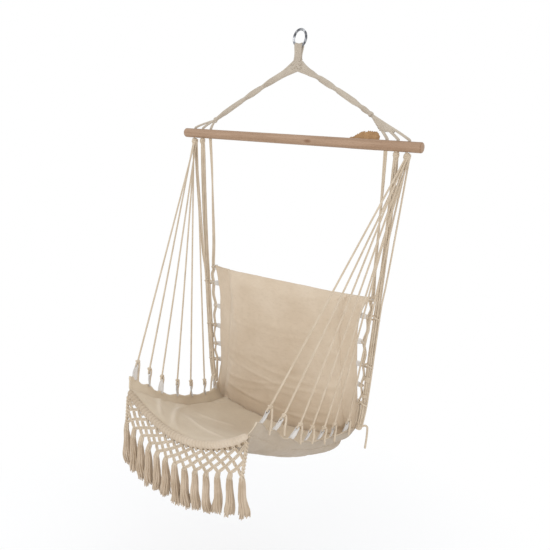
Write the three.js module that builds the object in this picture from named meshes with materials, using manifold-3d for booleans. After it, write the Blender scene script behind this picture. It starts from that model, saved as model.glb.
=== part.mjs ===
// A macrame hammock chair that hangs from one steel ring. Millimetres, +Z up, -Y to the front of the seat.
// The origin is the point inside the ring that bears on a hook. The spreader bar lies along X below it.

import * as THREE from 'three';
import { mergeVertices } from 'three/addons/utils/BufferGeometryUtils.js';
import Module from 'manifold-3d';

const wasm = await Module();
wasm.setup();

// Clearances
const touchGap = 0.3;
const turnGap = 0.5;
const weldTolerance = 0.001;

// Hanging gear. Heights are above the axis of the spreader bar, drops are below it.
const hangHeight = 339;
const ringOuterDiameter = 60;
const ringWireDiameter = 7;
const loopWidth = 27;
const loopWaist = 19;
const loopStrap = 4.5;
const knotHeight = 241;
const knotDiameter = 30;
const legRootWidth = 34;
const legWidth = 16;
const legThickness = 13;
const leftSplitInset = 17;
const leftSplitHeight = 50;
const rightSplitInset = 60;
const rightSplitHeight = 88;
const webThickness = 3;
const webShare = 0.62;
const strandDiameter = 9;

// Spreader bar
const barLength = 900;
const barDiameter = 32;
const barEndRadius = 6;
const holeInset = 45;
const holePitch = 35;

// Bare tab behind the bar
const tabInset = 81;
const tabLength = 98;
const tabRise = 38;
const tabThickness = 2;
const tabWrapAngle = Math.PI / 3;

// Cords
const cordDiameter = 5;
const bundleDiameter = 16;
const outerKnotDiameter = 24;
const collarKnotDiameter = 21;
const fanKnotDiameter = 13;
const cornerKnotDiameter = 26;
const fanRise = 50;
const fanTail = 62;
const cornerTail = 78;
const bundleBow = 13;

// Sling: where the seat and back reach, forward (-Y), rearward (+Y) and below the axis of the bar
const tipReach = 434;
const tipDrop = 771;
const tipHalfWidth = 239;
const hemReach = 452;
const hemDrop = 895;
const hemDiameter = 24;
const cornerReach = 105;
const cornerDrop = 950;
const cornerHalfWidth = 300;
const creaseReach = 109;
const creaseDrop = 1045;
const backTopReach = 37;
const backTopDrop = 479;
const backTopHalfWidth = 318;
const bandThickness = 4;
const seatPadFront = 8;
const seatPadRear = 30;
const backPadThickness = 43;
const padEdge = 5;
const padCreaseThickness = 20;

// Tape loops sewn to the bands
const tapeThickness = 1.6;
const tapeWidth = 18;
const tapeNeck = 5;
const tapeRoot = 5;
const tapeTuck = Math.PI / 9;

// Fringe: the net and its tassels
const netMiddleDrop = 967;
const netSideDrop = 932;
const netMiddleReach = 480;
const netSideReach = 452;
const netColumns = 24;
const netRows = 5;
const netCord = 7;
const netEdgeCord = 8;
const netKnotDiameter = 12.5;
const tasselLength = 128;
const tasselDiameter = 22;
const tasselLean = 0.14;

// Share tables, read along their first column
const seatHalfWidthShares = [[0, 0.797], [0.04, 0.81], [0.17, 0.82], [0.31, 0.868], [0.475, 0.877], [0.63, 0.887],
  [0.785, 0.9], [0.93, 0.945], [1, 1]];
const seatEdgeFallShares = [[0, 0], [0.04, 0.06], [0.17, 0.3], [0.31, 0.57], [0.475, 0.775], [0.63, 0.92],
  [0.785, 1.01], [0.93, 1.04], [1, 1]];
const seatMiddleFallShares = [[0, 0], [0.28, 0.37], [0.57, 0.83], [0.78, 1], [1, 1]];
const seatFlatShares = [[0, 0.7], [0.3, 0.45], [0.6, 0.46], [1, 0.45]];
const backHalfWidthShares = [[0, 0], [0.1, 0.1], [0.22, -0.35], [0.4, -0.5], [0.6, -0.7], [0.78, -0.75], [0.92, 0],
  [1, 1]];
const backCurlShares = [[0, 0], [0.1, 0.8], [0.22, 0.85], [0.4, 0.6], [0.6, 0.5], [0.78, 0.45], [0.92, 0.6], [1, 1]];
const fanPlaceShares = [0.04, 0.17, 0.31, 0.475, 0.63, 0.785, 0.93];
const fanLeanShares = [[0.17, 0.42], [0.3, 0.34], [0.28, 0.36], [0.22, 0.2], [0.24, 0.12], [0.12, 0], [0.12, 0.06]];
const backCurlShare = 0.38;
const fanUpShare = 0.9;
const bundleBowShares = [[0, 0], [0.16, 0.6], [0.3, 0.93], [0.4, 1], [0.5, 0.97], [0.69, 0.83], [0.81, 0.8], [0.92, 0.6],
  [1, 0]];
const backLoopShares = [0.985, 0.86, 0.67, 0.5, 0.34, 0.2];
const backLoopReachShares = [0.45, 0.7, 0.6, 0.75, 0.8, 0.7];
const tasselShares = [[0, 0.3], [0.08, 0.52], [0.3, 0.62], [0.6, 0.8], [0.92, 1], [1, 0.9]];
const tabRiseShares = [[0, 0.4], [0.25, 0.8], [0.6, 1], [0.85, 0.95], [1, 0.6]];
const hemTaperShare = 0.5;
const seatPadFrontShare = 0.94;
const seatPadRearShare = 0.87;
const backPadTopShare = 0.77;
const netWidthShare = 0.93;

// How finely round things are cut
const ringSides = 8;
const ringSteps = 24;
const barSides = 18;
const holeSides = 10;
const eyeSides = 20;
const cordSides = 6;
const thinCordSides = 5;
const bundleSides = 8;
const tasselSides = 6;
const knotSides = 8;
const knotRows = 5;
const smallKnotSides = 6;
const smallKnotRows = 4;
const socketSides = 20;
const socketRows = 12;
const smallSocketSides = 10;
const smallSocketRows = 6;
const seatRows = 12;
const backRows = 12;

// Sizes that follow from those above
const ringWireRadius = ringWireDiameter / 2;
const ringMeanRadius = ringOuterDiameter / 2 - ringWireRadius;
const ringCentreHeight = hangHeight - ringMeanRadius + ringWireRadius;
const loopPivotHeight = ringCentreHeight - ringMeanRadius;
const barRadius = barDiameter / 2;
const holeDiameter = strandDiameter + 2 * touchGap;
const cordRadius = cordDiameter / 2;
const bundleRadius = bundleDiameter / 2;
const outerKnotRadius = outerKnotDiameter / 2;
const fanKnotRadius = fanKnotDiameter / 2;
const cornerKnotRadius = cornerKnotDiameter / 2;
const outerHoleX = barLength / 2 - holeInset;
const middleHoleX = outerHoleX - holePitch;
const innerHoleX = middleHoleX - holePitch;
const leftSplitX = innerHoleX - leftSplitInset;
const rightSplitX = innerHoleX - rightSplitInset;
const tabX = innerHoleX - tabInset;
const backLean = creaseReach - backTopReach;
const bowDepth = (backTopHalfWidth - cornerHalfWidth);

const vec = (x, y, z) => new THREE.Vector3(x, y, z);
const mix = (from, to, share) => from + (to - from) * share;
const mixPoints = (from, to, share) => from.clone().lerp(to, share);

// Smooth value of a table of [place, value] rows at a place.
function readTable(rows, place) {
  const last = rows.length - 1;
  let row = 0;
  while (row < last - 1 && place > rows[row + 1][0]) row += 1;
  const slope = (index) => {
    const before = rows[Math.max(index - 1, 0)];
    const after = rows[Math.min(index + 1, last)];
    return (after[1] - before[1]) / (after[0] - before[0]);
  };
  const [from, to] = [rows[row], rows[row + 1]];
  const span = to[0] - from[0];
  const share = (place - from[0]) / span;
  const square = share * share;
  const cube = square * share;
  return from[1] * (2 * cube - 3 * square + 1) + slope(row) * span * (cube - 2 * square + share)
    + to[1] * (3 * square - 2 * cube) + slope(row + 1) * span * (cube - square);
}

// Solids

function solidOf(geometry) {
  const bare = geometry.index ? geometry.toNonIndexed() : geometry.clone();
  bare.deleteAttribute('normal');
  bare.deleteAttribute('uv');
  const merged = mergeVertices(bare, weldTolerance);
  return new wasm.Manifold(new wasm.Mesh({
    numProp: 3,
    vertProperties: new Float32Array(merged.attributes.position.array),
    triVerts: new Uint32Array(merged.index.array),
  }));
}

function geometryOf(solid) {
  const mesh = solid.getMesh();
  const geometry = new THREE.BufferGeometry();
  geometry.setAttribute('position', new THREE.BufferAttribute(new Float32Array(mesh.vertProperties), 3));
  geometry.setIndex(new THREE.BufferAttribute(new Uint32Array(mesh.triVerts), 1));
  const faceted = geometry.toNonIndexed();
  faceted.computeVertexNormals();
  return faceted;
}

const join = (geometries) => geometries.map(solidOf).reduce((whole, piece) => whole.add(piece));
const cut = (solid, tools) => tools.map(solidOf).reduce((whole, tool) => whole.subtract(tool), solid);

// Closed body through rings of points that turn right-handed about the way they advance.
function loft(rings) {
  const count = rings[0].length;
  const triangles = [];
  const add = (a, b, c) => triangles.push(...a.toArray(), ...b.toArray(), ...c.toArray());
  for (let step = 0; step + 1 < rings.length; step += 1) {
    for (let side = 0; side < count; side += 1) {
      const next = (side + 1) % count;
      const [a, b] = [rings[step][side], rings[step][next]];
      const [c, d] = [rings[step + 1][next], rings[step + 1][side]];
      add(a, b, c);
      add(a, c, d);
    }
  }
  const [first, last] = [rings[0], rings[rings.length - 1]];
  for (let side = 1; side + 1 < count; side += 1) {
    add(first[0], first[side + 1], first[side]);
    add(last[0], last[side], last[side + 1]);
  }
  const geometry = new THREE.BufferGeometry();
  geometry.setAttribute('position', new THREE.Float32BufferAttribute(triangles, 3));
  return geometry;
}

// Round cord of one thickness along a curve through the points.
function cordAlong(points, radius, sides, steps) {
  const outline = Array.from({ length: sides }, (_, side) => {
    const angle = (2 * Math.PI * side) / sides;
    return new THREE.Vector2(radius * Math.cos(angle), radius * Math.sin(angle));
  });
  const path = points.length === 2 ? new THREE.LineCurve3(...points) : new THREE.CatmullRomCurve3(points);
  return new THREE.ExtrudeGeometry(new THREE.Shape(outline), { steps, bevelEnabled: false, extrudePath: path });
}

// Rope whose section is an ellipse: radiiAt gives its half thickness and half width for a share and a centre.
function ropeAlong(points, radiiAt, sides, steps) {
  const path = new THREE.CatmullRomCurve3(points);
  const frames = path.computeFrenetFrames(steps, false);
  const rings = Array.from({ length: steps + 1 }, (_, step) => {
    const centre = path.getPointAt(step / steps);
    const [thin, wide] = radiiAt(step / steps, centre);
    return Array.from({ length: sides }, (_unused, side) => {
      const angle = (2 * Math.PI * side) / sides;
      return centre.clone().addScaledVector(frames.normals[step], thin * Math.cos(angle))
        .addScaledVector(frames.binormals[step], wide * Math.sin(angle));
    });
  });
  return loft(rings);
}

// Cloth with thickness over a surface, both given for shares along and across it.
function clothOver(surface, thickness, rows, columns) {
  const step = 1 / 200;
  const faces = [1, -1].map((side) => Array.from({ length: rows + 1 }, (_, row) =>
    Array.from({ length: columns + 1 }, (_unused, column) => {
      const [a, b] = [row / rows, column / columns];
      const along = surface(Math.min(a + step, 1), b).sub(surface(Math.max(a - step, 0), b));
      const across = surface(a, Math.min(b + step, 1)).sub(surface(a, Math.max(b - step, 0)));
      const normal = along.cross(across).normalize();
      return surface(a, b).addScaledVector(normal, (side * thickness(a, b)) / 2);
    })));
  const triangles = [];
  const add = (a, b, c) => triangles.push(...a.toArray(), ...b.toArray(), ...c.toArray());
  const quad = (a, b, c, d) => {
    add(a, b, c);
    add(a, c, d);
  };
  const [front, rear] = faces;
  for (let row = 0; row < rows; row += 1) {
    for (let column = 0; column < columns; column += 1) {
      quad(front[row][column], front[row + 1][column], front[row + 1][column + 1], front[row][column + 1]);
      quad(rear[row][column], rear[row][column + 1], rear[row + 1][column + 1], rear[row + 1][column]);
    }
    quad(front[row][0], rear[row][0], rear[row + 1][0], front[row + 1][0]);
    quad(front[row][columns], front[row + 1][columns], rear[row + 1][columns], rear[row][columns]);
  }
  for (let column = 0; column < columns; column += 1) {
    quad(front[0][column], front[0][column + 1], rear[0][column + 1], rear[0][column]);
    quad(front[rows][column], rear[rows][column], rear[rows][column + 1], front[rows][column + 1]);
  }
  const geometry = new THREE.BufferGeometry();
  geometry.setAttribute('position', new THREE.Float32BufferAttribute(triangles, 3));
  return geometry;
}

const ballOf = (sides, rows) => (centre, radius) =>
  new THREE.SphereGeometry(radius, sides, rows).translate(centre.x, centre.y, centre.z);
const ballAt = ballOf(knotSides, knotRows);
const smallBallAt = ballOf(smallKnotSides, smallKnotRows);
const socketAt = ballOf(socketSides, socketRows);
const smallSocketAt = ballOf(smallSocketSides, smallSocketRows);

// The space that the bar and its clearance take, which the knots under it are cut by.
const barSpace = () => new THREE.CylinderGeometry(barRadius + touchGap, barRadius + touchGap, barLength, 2 * barSides)
  .rotateZ(Math.PI / 2);

// Surfaces of the sling

function seatEdge(share) {
  return vec(cornerHalfWidth * readTable(seatHalfWidthShares, share), mix(-tipReach, cornerReach, share),
    -mix(tipDrop, cornerDrop, readTable(seatEdgeFallShares, share)));
}

// Across the seat the cloth is nearly flat in the middle and steep at the sides, most of all at the rear.
function fallAcross(depth, across) {
  const flat = readTable(seatFlatShares, depth);
  return flat * across ** 2 + (1 - flat) * across ** 16;
}

// Point of the seat for a share of its depth and a share of its half width, negative on the left.
function seatPoint(depth, across) {
  const edge = seatEdge(depth);
  const middleY = mix(-hemReach, creaseReach, depth);
  const middleZ = -mix(hemDrop, creaseDrop, readTable(seatMiddleFallShares, depth));
  return vec(across * edge.x, mix(middleY, edge.y, across ** 2), mix(middleZ, edge.z, fallAcross(depth, Math.abs(across))));
}

// Point of the back for a share of its height above the crease and a share of its half width.
function backPoint(height, across) {
  const crease = seatPoint(1, across);
  const top = vec(across * backTopHalfWidth, backTopReach, -backTopDrop);
  const point = mixPoints(crease, top, height);
  point.x = across * (cornerHalfWidth + bowDepth * readTable(backHalfWidthShares, height));
  point.y += backLean * backCurlShare * readTable(backCurlShares, height) * across ** 6;
  return point;
}

// Radius of the rolled hem for a share of its half length, negative on the left.
const hemRadius = (across) => (hemDiameter / 2) * (1 - hemTaperShare * Math.abs(across) ** 6);

// Share of the seat's depth where the cloth leaves the hem.
function seatStart(across) {
  const reach = 0.05;
  const slant = seatPoint(0, across).distanceTo(seatPoint(reach, across)) / reach;
  return (hemRadius(across) + 3 * touchGap) / slant;
}

const seatPadHalfShare = (depth) => mix(seatPadFrontShare, seatPadRearShare, depth);
const backPadHalfShare = (height) => mix(seatPadRearShare, backPadTopShare, height);

// Places of the cords on the right side

function edgeTangent(share) {
  const reach = 0.02;
  return seatEdge(Math.min(share + reach, 1)).sub(seatEdge(share - reach)).normalize();
}

function fanPlace(index) {
  const share = fanPlaceShares[index];
  const base = seatEdge(share);
  const [outward, forward] = fanLeanShares[index];
  const knot = base.clone().add(vec(outward * fanRise, forward * fanRise, fanUpShare * fanRise));
  const rise = knot.clone().sub(base).normalize();
  return { base, knot, rise, tangent: edgeTangent(share) };
}

const bightReach = fanKnotRadius + 2 * cordRadius + tapeThickness + 4 * touchGap;
const fanEye = (place) => place.knot.clone().addScaledVector(place.rise, -bightReach);

const outerKnotCentre = vec(outerHoleX, 0, -barRadius - touchGap - outerKnotRadius);
const cornerKnotCentre = seatEdge(1).add(vec(0.86, 0.05, 0.5).normalize()
  .multiplyScalar(cornerKnotRadius + bandThickness));

// Rear bundle from the middle hole to the corner knot, on the right side: a line that bows outwards.
const bundleRoute = bundleBowShares.map(([share, bow]) =>
  mixPoints(vec(middleHoleX, 0, cordDiameter - barRadius), cornerKnotCentre, share).add(vec(bow * bundleBow, 0, 0)));

function backLoopPlace(index) {
  const height = backLoopShares[index];
  const base = backPoint(height, 1);
  const bundle = bundleAtDrop(-base.z);
  const eye = mixPoints(base, vec(bundle.x - bundleRadius - cordDiameter, bundle.y, base.z),
    backLoopReachShares[index]);
  const reach = 0.02;
  const tangent = backPoint(Math.min(height + reach, 1), 1).sub(backPoint(height - reach, 1)).normalize();
  return { base, eye, tangent };
}

// Point of the rear bundle at a drop below the bar.
function bundleAtDrop(drop) {
  let index = 0;
  while (index < bundleRoute.length - 2 && -bundleRoute[index + 1].z < drop) index += 1;
  const [above, below] = [bundleRoute[index], bundleRoute[index + 1]];
  return mixPoints(above, below, (above.z + drop) / (above.z - below.z));
}

// Hanging gear

function hangingRing() {
  return new THREE.TorusGeometry(ringMeanRadius, ringWireRadius, ringSides, ringSteps).rotateX(Math.PI / 2)
    .translate(0, 0, ringCentreHeight);
}

// The strap of cords that passes over the wire. Its eye is turned about the hinge line, so that it swings clear.
function topLoop() {
  const rise = (x) => ringMeanRadius - Math.sqrt(ringMeanRadius ** 2 - x ** 2);
  const halfWidth = loopWidth / 2;
  const eyeRadius = (x) => rise(x) + ringWireRadius + 2 * touchGap;
  const outerDepth = eyeRadius(halfWidth) + loopStrap;
  const crown = loopPivotHeight + eyeRadius(0) + loopStrap;
  const foot = knotHeight + knotDiameter / 5;
  const levels = [[0, loopWaist, loopWaist / 2], [0.25, loopWaist, loopWaist / 2], [0.55, loopWidth, outerDepth],
    [0.86, loopWidth, outerDepth], [0.96, loopWidth * 0.9, outerDepth * 0.75], [1, loopWidth * 0.7, outerDepth * 0.3]];
  const rings = levels.map(([share, wide, halfDeep]) => Array.from({ length: holeSides }, (_, side) => {
    const angle = (2 * Math.PI * side) / holeSides;
    const square = (value) => Math.sign(value) * Math.abs(value) ** 0.6;
    return vec((wide / 2) * square(Math.cos(angle)), halfDeep * square(Math.sin(angle)), mix(foot, crown, share));
  }));
  const steps = 6;
  const profile = Array.from({ length: steps + 1 }, (_, step) => {
    const x = mix(-loopWidth, loopWidth, step / steps) * 0.6;
    return new THREE.Vector2(eyeRadius(x), x);
  });
  profile.unshift(new THREE.Vector2(0, profile[0].y));
  profile.push(new THREE.Vector2(0, profile[profile.length - 1].y));
  const eye = new THREE.LatheGeometry(profile, eyeSides).rotateZ(Math.PI / 2).translate(0, 0, loopPivotHeight);
  const ball = ballAt(vec(0, 0, knotHeight), knotDiameter / 2 + touchGap);
  return geometryOf(cut(solidOf(loft(rings)), [eye, ball]));
}

const gatheringKnot = () => ballAt(vec(0, 0, knotHeight), knotDiameter / 2);

// A leg from the knot to the point where it parts into three strands, one for each hole. side is 1 on the right.
function bridleLeg(side, splitX, splitHeight, hasWeb) {
  const knot = vec(0, 0, knotHeight);
  const split = vec(side * splitX, 0, splitHeight);
  const root = vec(side * legRootWidth * 0.15, 0, knotHeight - legRootWidth * 0.35);
  const bow = (share, rise) => mixPoints(knot, split, share).add(vec(0, 0, rise));
  const route = [root, bow(0.2, -legWidth / 6), bow(0.5, legWidth / 12), bow(0.8, legWidth / 8), split];
  const radii = (share) => {
    const gathered = Math.max(0, 1 - share / 0.3);
    return [legThickness / 2, mix(legWidth, legRootWidth, gathered ** 1.5) / 2];
  };
  const pieces = [ropeAlong(route, radii, bundleSides, 12)];
  const ends = [];
  for (const holeX of [outerHoleX, middleHoleX, innerHoleX]) {
    const top = vec(side * holeX, 0, barRadius);
    pieces.push(cordAlong([mixPoints(split, root, 0.03), top], strandDiameter / 2, cordSides, 1));
    ends.push(cordAlong([vec(top.x, 0, barRadius + strandDiameter / 2), vec(top.x, 0, strandDiameter / 2 - barRadius)],
      strandDiameter / 2, cordSides, 1));
  }
  if (hasWeb) {
    const high = mixPoints(split, vec(side * outerHoleX, 0, barRadius), webShare);
    const low = mixPoints(split, vec(side * innerHoleX, 0, barRadius), webShare);
    const outline = [split, low, high].map((point) => new THREE.Vector2(point.x, point.z));
    const web = new THREE.ExtrudeGeometry(new THREE.Shape(outline), { depth: webThickness, bevelEnabled: false });
    pieces.push(web.rotateX(Math.PI / 2).translate(0, webThickness / 2, 0));
  }
  const half = new THREE.BoxGeometry(barLength, barLength, barLength)
    .translate(-side * (barLength - touchGap) / 2, 0, 0);
  const above = cut(join(pieces), [half, socketAt(knot, knotDiameter / 2 + turnGap), barSpace()]);
  return geometryOf(above.add(join(ends)));
}

// Spreader bar

function spreaderBar() {
  const end = barLength / 2;
  const corner = new THREE.Path().absarc(barRadius - barEndRadius, end - barEndRadius, barEndRadius, 0, Math.PI / 2);
  const upper = corner.getPoints(2);
  const profile = [new THREE.Vector2(0, -end), ...upper.map((point) => new THREE.Vector2(point.x, -point.y)).reverse(),
    ...upper, new THREE.Vector2(0, end)];
  const bar = solidOf(new THREE.LatheGeometry(profile, barSides).rotateZ(-Math.PI / 2));
  const holes = [-1, 1].flatMap((side) => [outerHoleX, middleHoleX, innerHoleX].map((holeX) =>
    new THREE.CylinderGeometry(holeDiameter / 2, holeDiameter / 2, 2 * barDiameter, holeSides)
      .rotateX(Math.PI / 2).translate(side * holeX, 0, 0)));
  return geometryOf(cut(bar, holes));
}

// A strip that hugs the rear of the bar and stands up behind it.
function barTab() {
  const inner = barRadius + 2 * touchGap;
  const surface = (along, across) => {
    const wrapped = inner * tabWrapAngle;
    const run = mix(-wrapped, tabRise * readTable(tabRiseShares, along), across);
    const angle = Math.min(run, 0) / inner;
    const radius = inner + tabThickness / 2;
    const curl = Math.max(run, 0) ** 2 / (4 * tabRise);
    return vec(tabX + (along - 0.5) * tabLength, radius * Math.cos(angle) + curl,
      radius * Math.sin(angle) + Math.max(run, 0));
  };
  return clothOver(surface, () => tabThickness, 5, 12);
}

// Suspension cords on the right side

// Where each fan cord leaves the ball knot, in rows of a close packing.
function fanRoot(index) {
  const pitch = cordDiameter + touchGap * 2;
  const rowOf = [0, 0, 1, 1, 1, 2, 2, 2][index];
  const inRow = [0, 1, 0, 1, 2, 0, 1, 2][index];
  const width = [1, 2, 2][rowOf];
  const rowY = (rowOf - 1) * pitch * 0.9;
  return outerKnotCentre.clone().add(vec((inRow - width / 2) * pitch, rowY, -outerKnotRadius * 0.5));
}

function fanCord(index) {
  const place = fanPlace(index);
  const start = fanRoot(index);
  const bow = mixPoints(start, place.knot, 0.45).add(vec(0, index === 6 ? -cordDiameter : 0, 0));
  const side = place.tangent.clone().multiplyScalar(cordRadius + tapeNeck / 2 + touchGap);
  const eye = fanEye(place);
  const shoulder = mixPoints(eye, place.knot, 0.2);
  const bight = [place.knot.clone().add(side), shoulder.clone().add(side), eye.clone().addScaledVector(side, 0.6),
    eye.clone().addScaledVector(side, -0.6), shoulder.clone().sub(side), place.knot.clone().sub(side)];
  const outward = vec(fanKnotRadius * 0.9, 0, 0);
  const tail = [place.knot.clone(), place.knot.clone().add(outward).add(vec(cordRadius, 0, 0)),
    place.knot.clone().add(outward).add(vec(cordRadius, 0, -fanTail / 4)),
    place.knot.clone().add(outward).add(vec(cordRadius, 0, -fanTail))];
  const pieces = [cordAlong([start, bow, place.knot], cordRadius, cordSides, 2),
    smallBallAt(place.knot, fanKnotRadius), cordAlong(bight, cordRadius * 0.9, thinCordSides, 7),
    cordAlong(tail, cordRadius * 0.8, thinCordSides, 3)];
  return geometryOf(cut(join(pieces), [ballAt(outerKnotCentre, outerKnotRadius + touchGap)]));
}

// From the ball knot to the rear bundle, then down its outer side.
function outerCord() {
  const beside = bundleRadius + cordRadius + 4 * touchGap;
  const along = [0.53, 0.7, 0.82, 0.92].map((share) => bundleAtDrop(share * cornerDrop).add(vec(beside, 0, 0)));
  const start = fanRoot(7);
  const free = [0.45, 0.85].map((share) => mixPoints(start, along[0], share).add(vec(cordRadius, -cordRadius, 0)));
  const route = [start, ...free, ...along, cornerKnotCentre.clone().add(vec(beside * 0.92, 0, 0))];
  const solid = solidOf(cordAlong(route, cordRadius, cordSides, 20));
  return geometryOf(cut(solid, [ballAt(outerKnotCentre, outerKnotRadius + touchGap),
    ballAt(cornerKnotCentre, cornerKnotRadius + touchGap)]));
}

function rearBundle() {
  const collar = ballAt(vec(middleHoleX, 0, -barRadius - collarKnotDiameter * 0.42), collarKnotDiameter / 2);
  const radii = (share) => {
    const waist = share < 0.06 ? share / 0.06 : 1;
    return [mix(0.75, 1, waist) * bundleRadius, mix(0.75, 1, waist) * bundleRadius];
  };
  const solid = join([ropeAlong(bundleRoute, radii, bundleSides, 12), collar]);
  return geometryOf(cut(solid, [barSpace(), ballAt(cornerKnotCentre, cornerKnotRadius + touchGap)]));
}

// From the inner hole to the back's top corner, then in and out between the tape loops and the rear bundle.
function lacingCord() {
  const places = backLoopShares.map((_, index) => backLoopPlace(index));
  const start = vec(innerHoleX, 0, cordRadius - barRadius);
  const route = [start];
  for (const share of [0.25, 0.5, 0.8]) {
    route.push(mixPoints(start, places[0].eye, share).add(vec(0, cordDiameter, 0)));
  }
  places.forEach((place, index) => {
    route.push(place.eye.clone().addScaledVector(place.tangent, tapeNeck));
    route.push(place.eye.clone().addScaledVector(place.tangent, -tapeNeck));
    const next = places[index + 1];
    if (next) {
      const drop = -(place.eye.z + next.eye.z) / 2;
      const bundle = bundleAtDrop(drop);
      route.push(vec(bundle.x - bundleRadius - cordDiameter, bundle.y, -drop));
    }
  });
  route.push(cornerKnotCentre.clone().add(vec(-cornerKnotRadius * 0.7, 0, cornerKnotRadius * 0.3)));
  const solid = solidOf(cordAlong(route, cordRadius, thinCordSides, 60));
  return geometryOf(cut(solid, [barSpace(), ballAt(cornerKnotCentre, cornerKnotRadius + touchGap)]));
}

function cornerKnot() {
  const hang = cornerKnotCentre.clone().add(vec(2 * cornerKnotRadius, 1.1 * cornerKnotRadius, 0));
  const tail = [cornerKnotCentre.clone(), hang.clone().add(vec(-1.5 * cornerKnotRadius, 0, cordRadius)),
    hang.clone().add(vec(-cordDiameter, 0, 0)), hang.clone().add(vec(0, 0, -cordDiameter)),
    hang.clone().add(vec(0, 0, -cornerTail))];
  return geometryOf(join([ballAt(cornerKnotCentre, cornerKnotRadius), cordAlong(tail, cordRadius, thinCordSides, 8)]));
}

// Sling

// Tape folded round a cord at eye and sewn down at base. tangent is the way the cord runs through it.
function tapeLoop(base, eye, tangent, cordThickness) {
  const rise = eye.clone().sub(base).normalize();
  const width = tangent.clone().addScaledVector(rise, -tangent.dot(rise)).normalize();
  const spread = rise.clone().cross(width).normalize();
  const bend = cordThickness / 2 + touchGap + tapeThickness / 2;
  const leg = tapeThickness / 2 + touchGap;
  const foot = base.clone().addScaledVector(rise, -tapeRoot);
  const turns = 4;
  const arc = Array.from({ length: turns + 1 }, (_, step) => {
    const angle = -tapeTuck + ((Math.PI + 2 * tapeTuck) * step) / turns;
    return [eye.clone().addScaledVector(spread, bend * Math.cos(angle)).addScaledVector(rise, bend * Math.sin(angle)),
      spread.clone().multiplyScalar(Math.cos(angle)).addScaledVector(rise, Math.sin(angle)), tapeNeck];
  });
  const feet = [1, -1].map((sign) => [foot.clone().addScaledVector(spread, sign * leg),
    spread.clone().multiplyScalar(sign), tapeWidth]);
  const rings = [feet[0], ...arc, feet[1]].map(([centre, outward, wide]) => [[-1, -1], [1, -1], [1, 1], [-1, 1]]
    .map(([thin, flat]) => centre.clone().addScaledVector(outward, (thin * tapeThickness) / 2)
      .addScaledVector(width, (-flat * wide) / 2)));
  return loft(rings);
}

function seatSideBand() {
  const surface = (along, across) => {
    const depth = mix(seatStart(mix(seatPadFrontShare, 1, across)), 1, along);
    const edge = seatEdge(depth).x;
    return seatPoint(depth, mix(seatPadHalfShare(depth) + (2 * touchGap) / edge, 1, across));
  };
  const loops = fanPlaceShares.map((_, index) => {
    const place = fanPlace(index);
    return tapeLoop(place.base, fanEye(place), place.tangent, cordDiameter + 5 * touchGap);
  });
  return geometryOf(join([clothOver(surface, () => bandThickness, seatRows, 1), ...loops]));
}

function backSideBand() {
  const foot = (bandThickness + 4 * touchGap) / (cornerDrop - backTopDrop);
  const surface = (along, across) => {
    const height = mix(foot, 1, along);
    return backPoint(height, mix(backPadHalfShare(height) + (2 * touchGap) / backTopHalfWidth, 1, across));
  };
  const loops = backLoopShares.map((_, index) => {
    const place = backLoopPlace(index);
    return tapeLoop(place.base, place.eye, place.tangent, cordDiameter + 8 * touchGap);
  });
  return geometryOf(join([clothOver(surface, () => bandThickness, backRows, 1), ...loops]));
}

// Thickness of a pad, full in the middle and drawn in to its edges. fromCrease runs from the crease to the far end.
function padThickness(full, fromCrease, across) {
  const end = fromCrease > 0.5 ? padEdge : padCreaseThickness;
  const middle = mix(full, end, Math.abs(2 * fromCrease - 1) ** 5);
  return mix(middle, padEdge, Math.abs(2 * across - 1) ** 8);
}

function seatPad() {
  // The columns crowd towards the sides, where the cloth turns up.
  const reach = (across) => Math.sin((across - 0.5) * Math.PI);
  const surface = (along, across) => {
    const depth = mix(seatStart(reach(across) * seatPadFrontShare), 1, along);
    return seatPoint(depth, reach(across) * seatPadHalfShare(depth));
  };
  const thickness = (along, across) =>
    padThickness(mix(seatPadFront, seatPadRear, along ** 2), 1 - along, (reach(across) + 1) / 2);
  return clothOver(surface, thickness, seatRows, 12);
}

function backPad() {
  const foot = (across) => (padThickness(seatPadRear, 0, across) * 0.7 + 4 * touchGap) / (creaseDrop - backTopDrop);
  const surface = (along, across) => {
    const height = mix(foot(across), 1, along);
    return backPoint(height, (2 * across - 1) * backPadHalfShare(height));
  };
  return clothOver(surface, (along, across) => padThickness(backPadThickness, along, across), backRows, 12);
}

// Centre of the rolled hem for a share of its half length, negative on the left.
const hemPoint = (across) => seatPoint(0, across);

function frontHem() {
  const steps = 28;
  const points = Array.from({ length: steps + 1 }, (_, step) => hemPoint(mix(-1, 1, step / steps)));
  const radii = (_share, centre) => [hemRadius(centre.x / hemPoint(1).x), hemRadius(centre.x / hemPoint(1).x)];
  return ropeAlong(points, radii, bundleSides, steps);
}

// Way out of the hem, square to it, where the net hangs.
function hemOutward(across) {
  const reach = 0.02;
  const run = hemPoint(Math.min(across + reach, 1)).sub(hemPoint(Math.max(across - reach, -1)));
  return vec(run.z, 0, -run.x).normalize();
}

// Knot of the net for a column and a row, counted from the left end of the hem.
function netPoint(column, row) {
  const across = mix(-netWidthShare, netWidthShare, column / netColumns);
  const clear = hemRadius(across) + netCord * Math.SQRT1_2 + 2 * touchGap;
  const top = hemPoint(across).addScaledVector(hemOutward(across), clear);
  const bottom = vec(across * tipHalfWidth, -mix(netMiddleReach, netSideReach, across ** 2),
    -mix(netMiddleDrop, netSideDrop, across ** 2));
  return mixPoints(top, bottom, row / netRows);
}

const tasselColumns = Array.from({ length: netColumns / 2 + 1 }, (_, index) => 2 * index);

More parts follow.
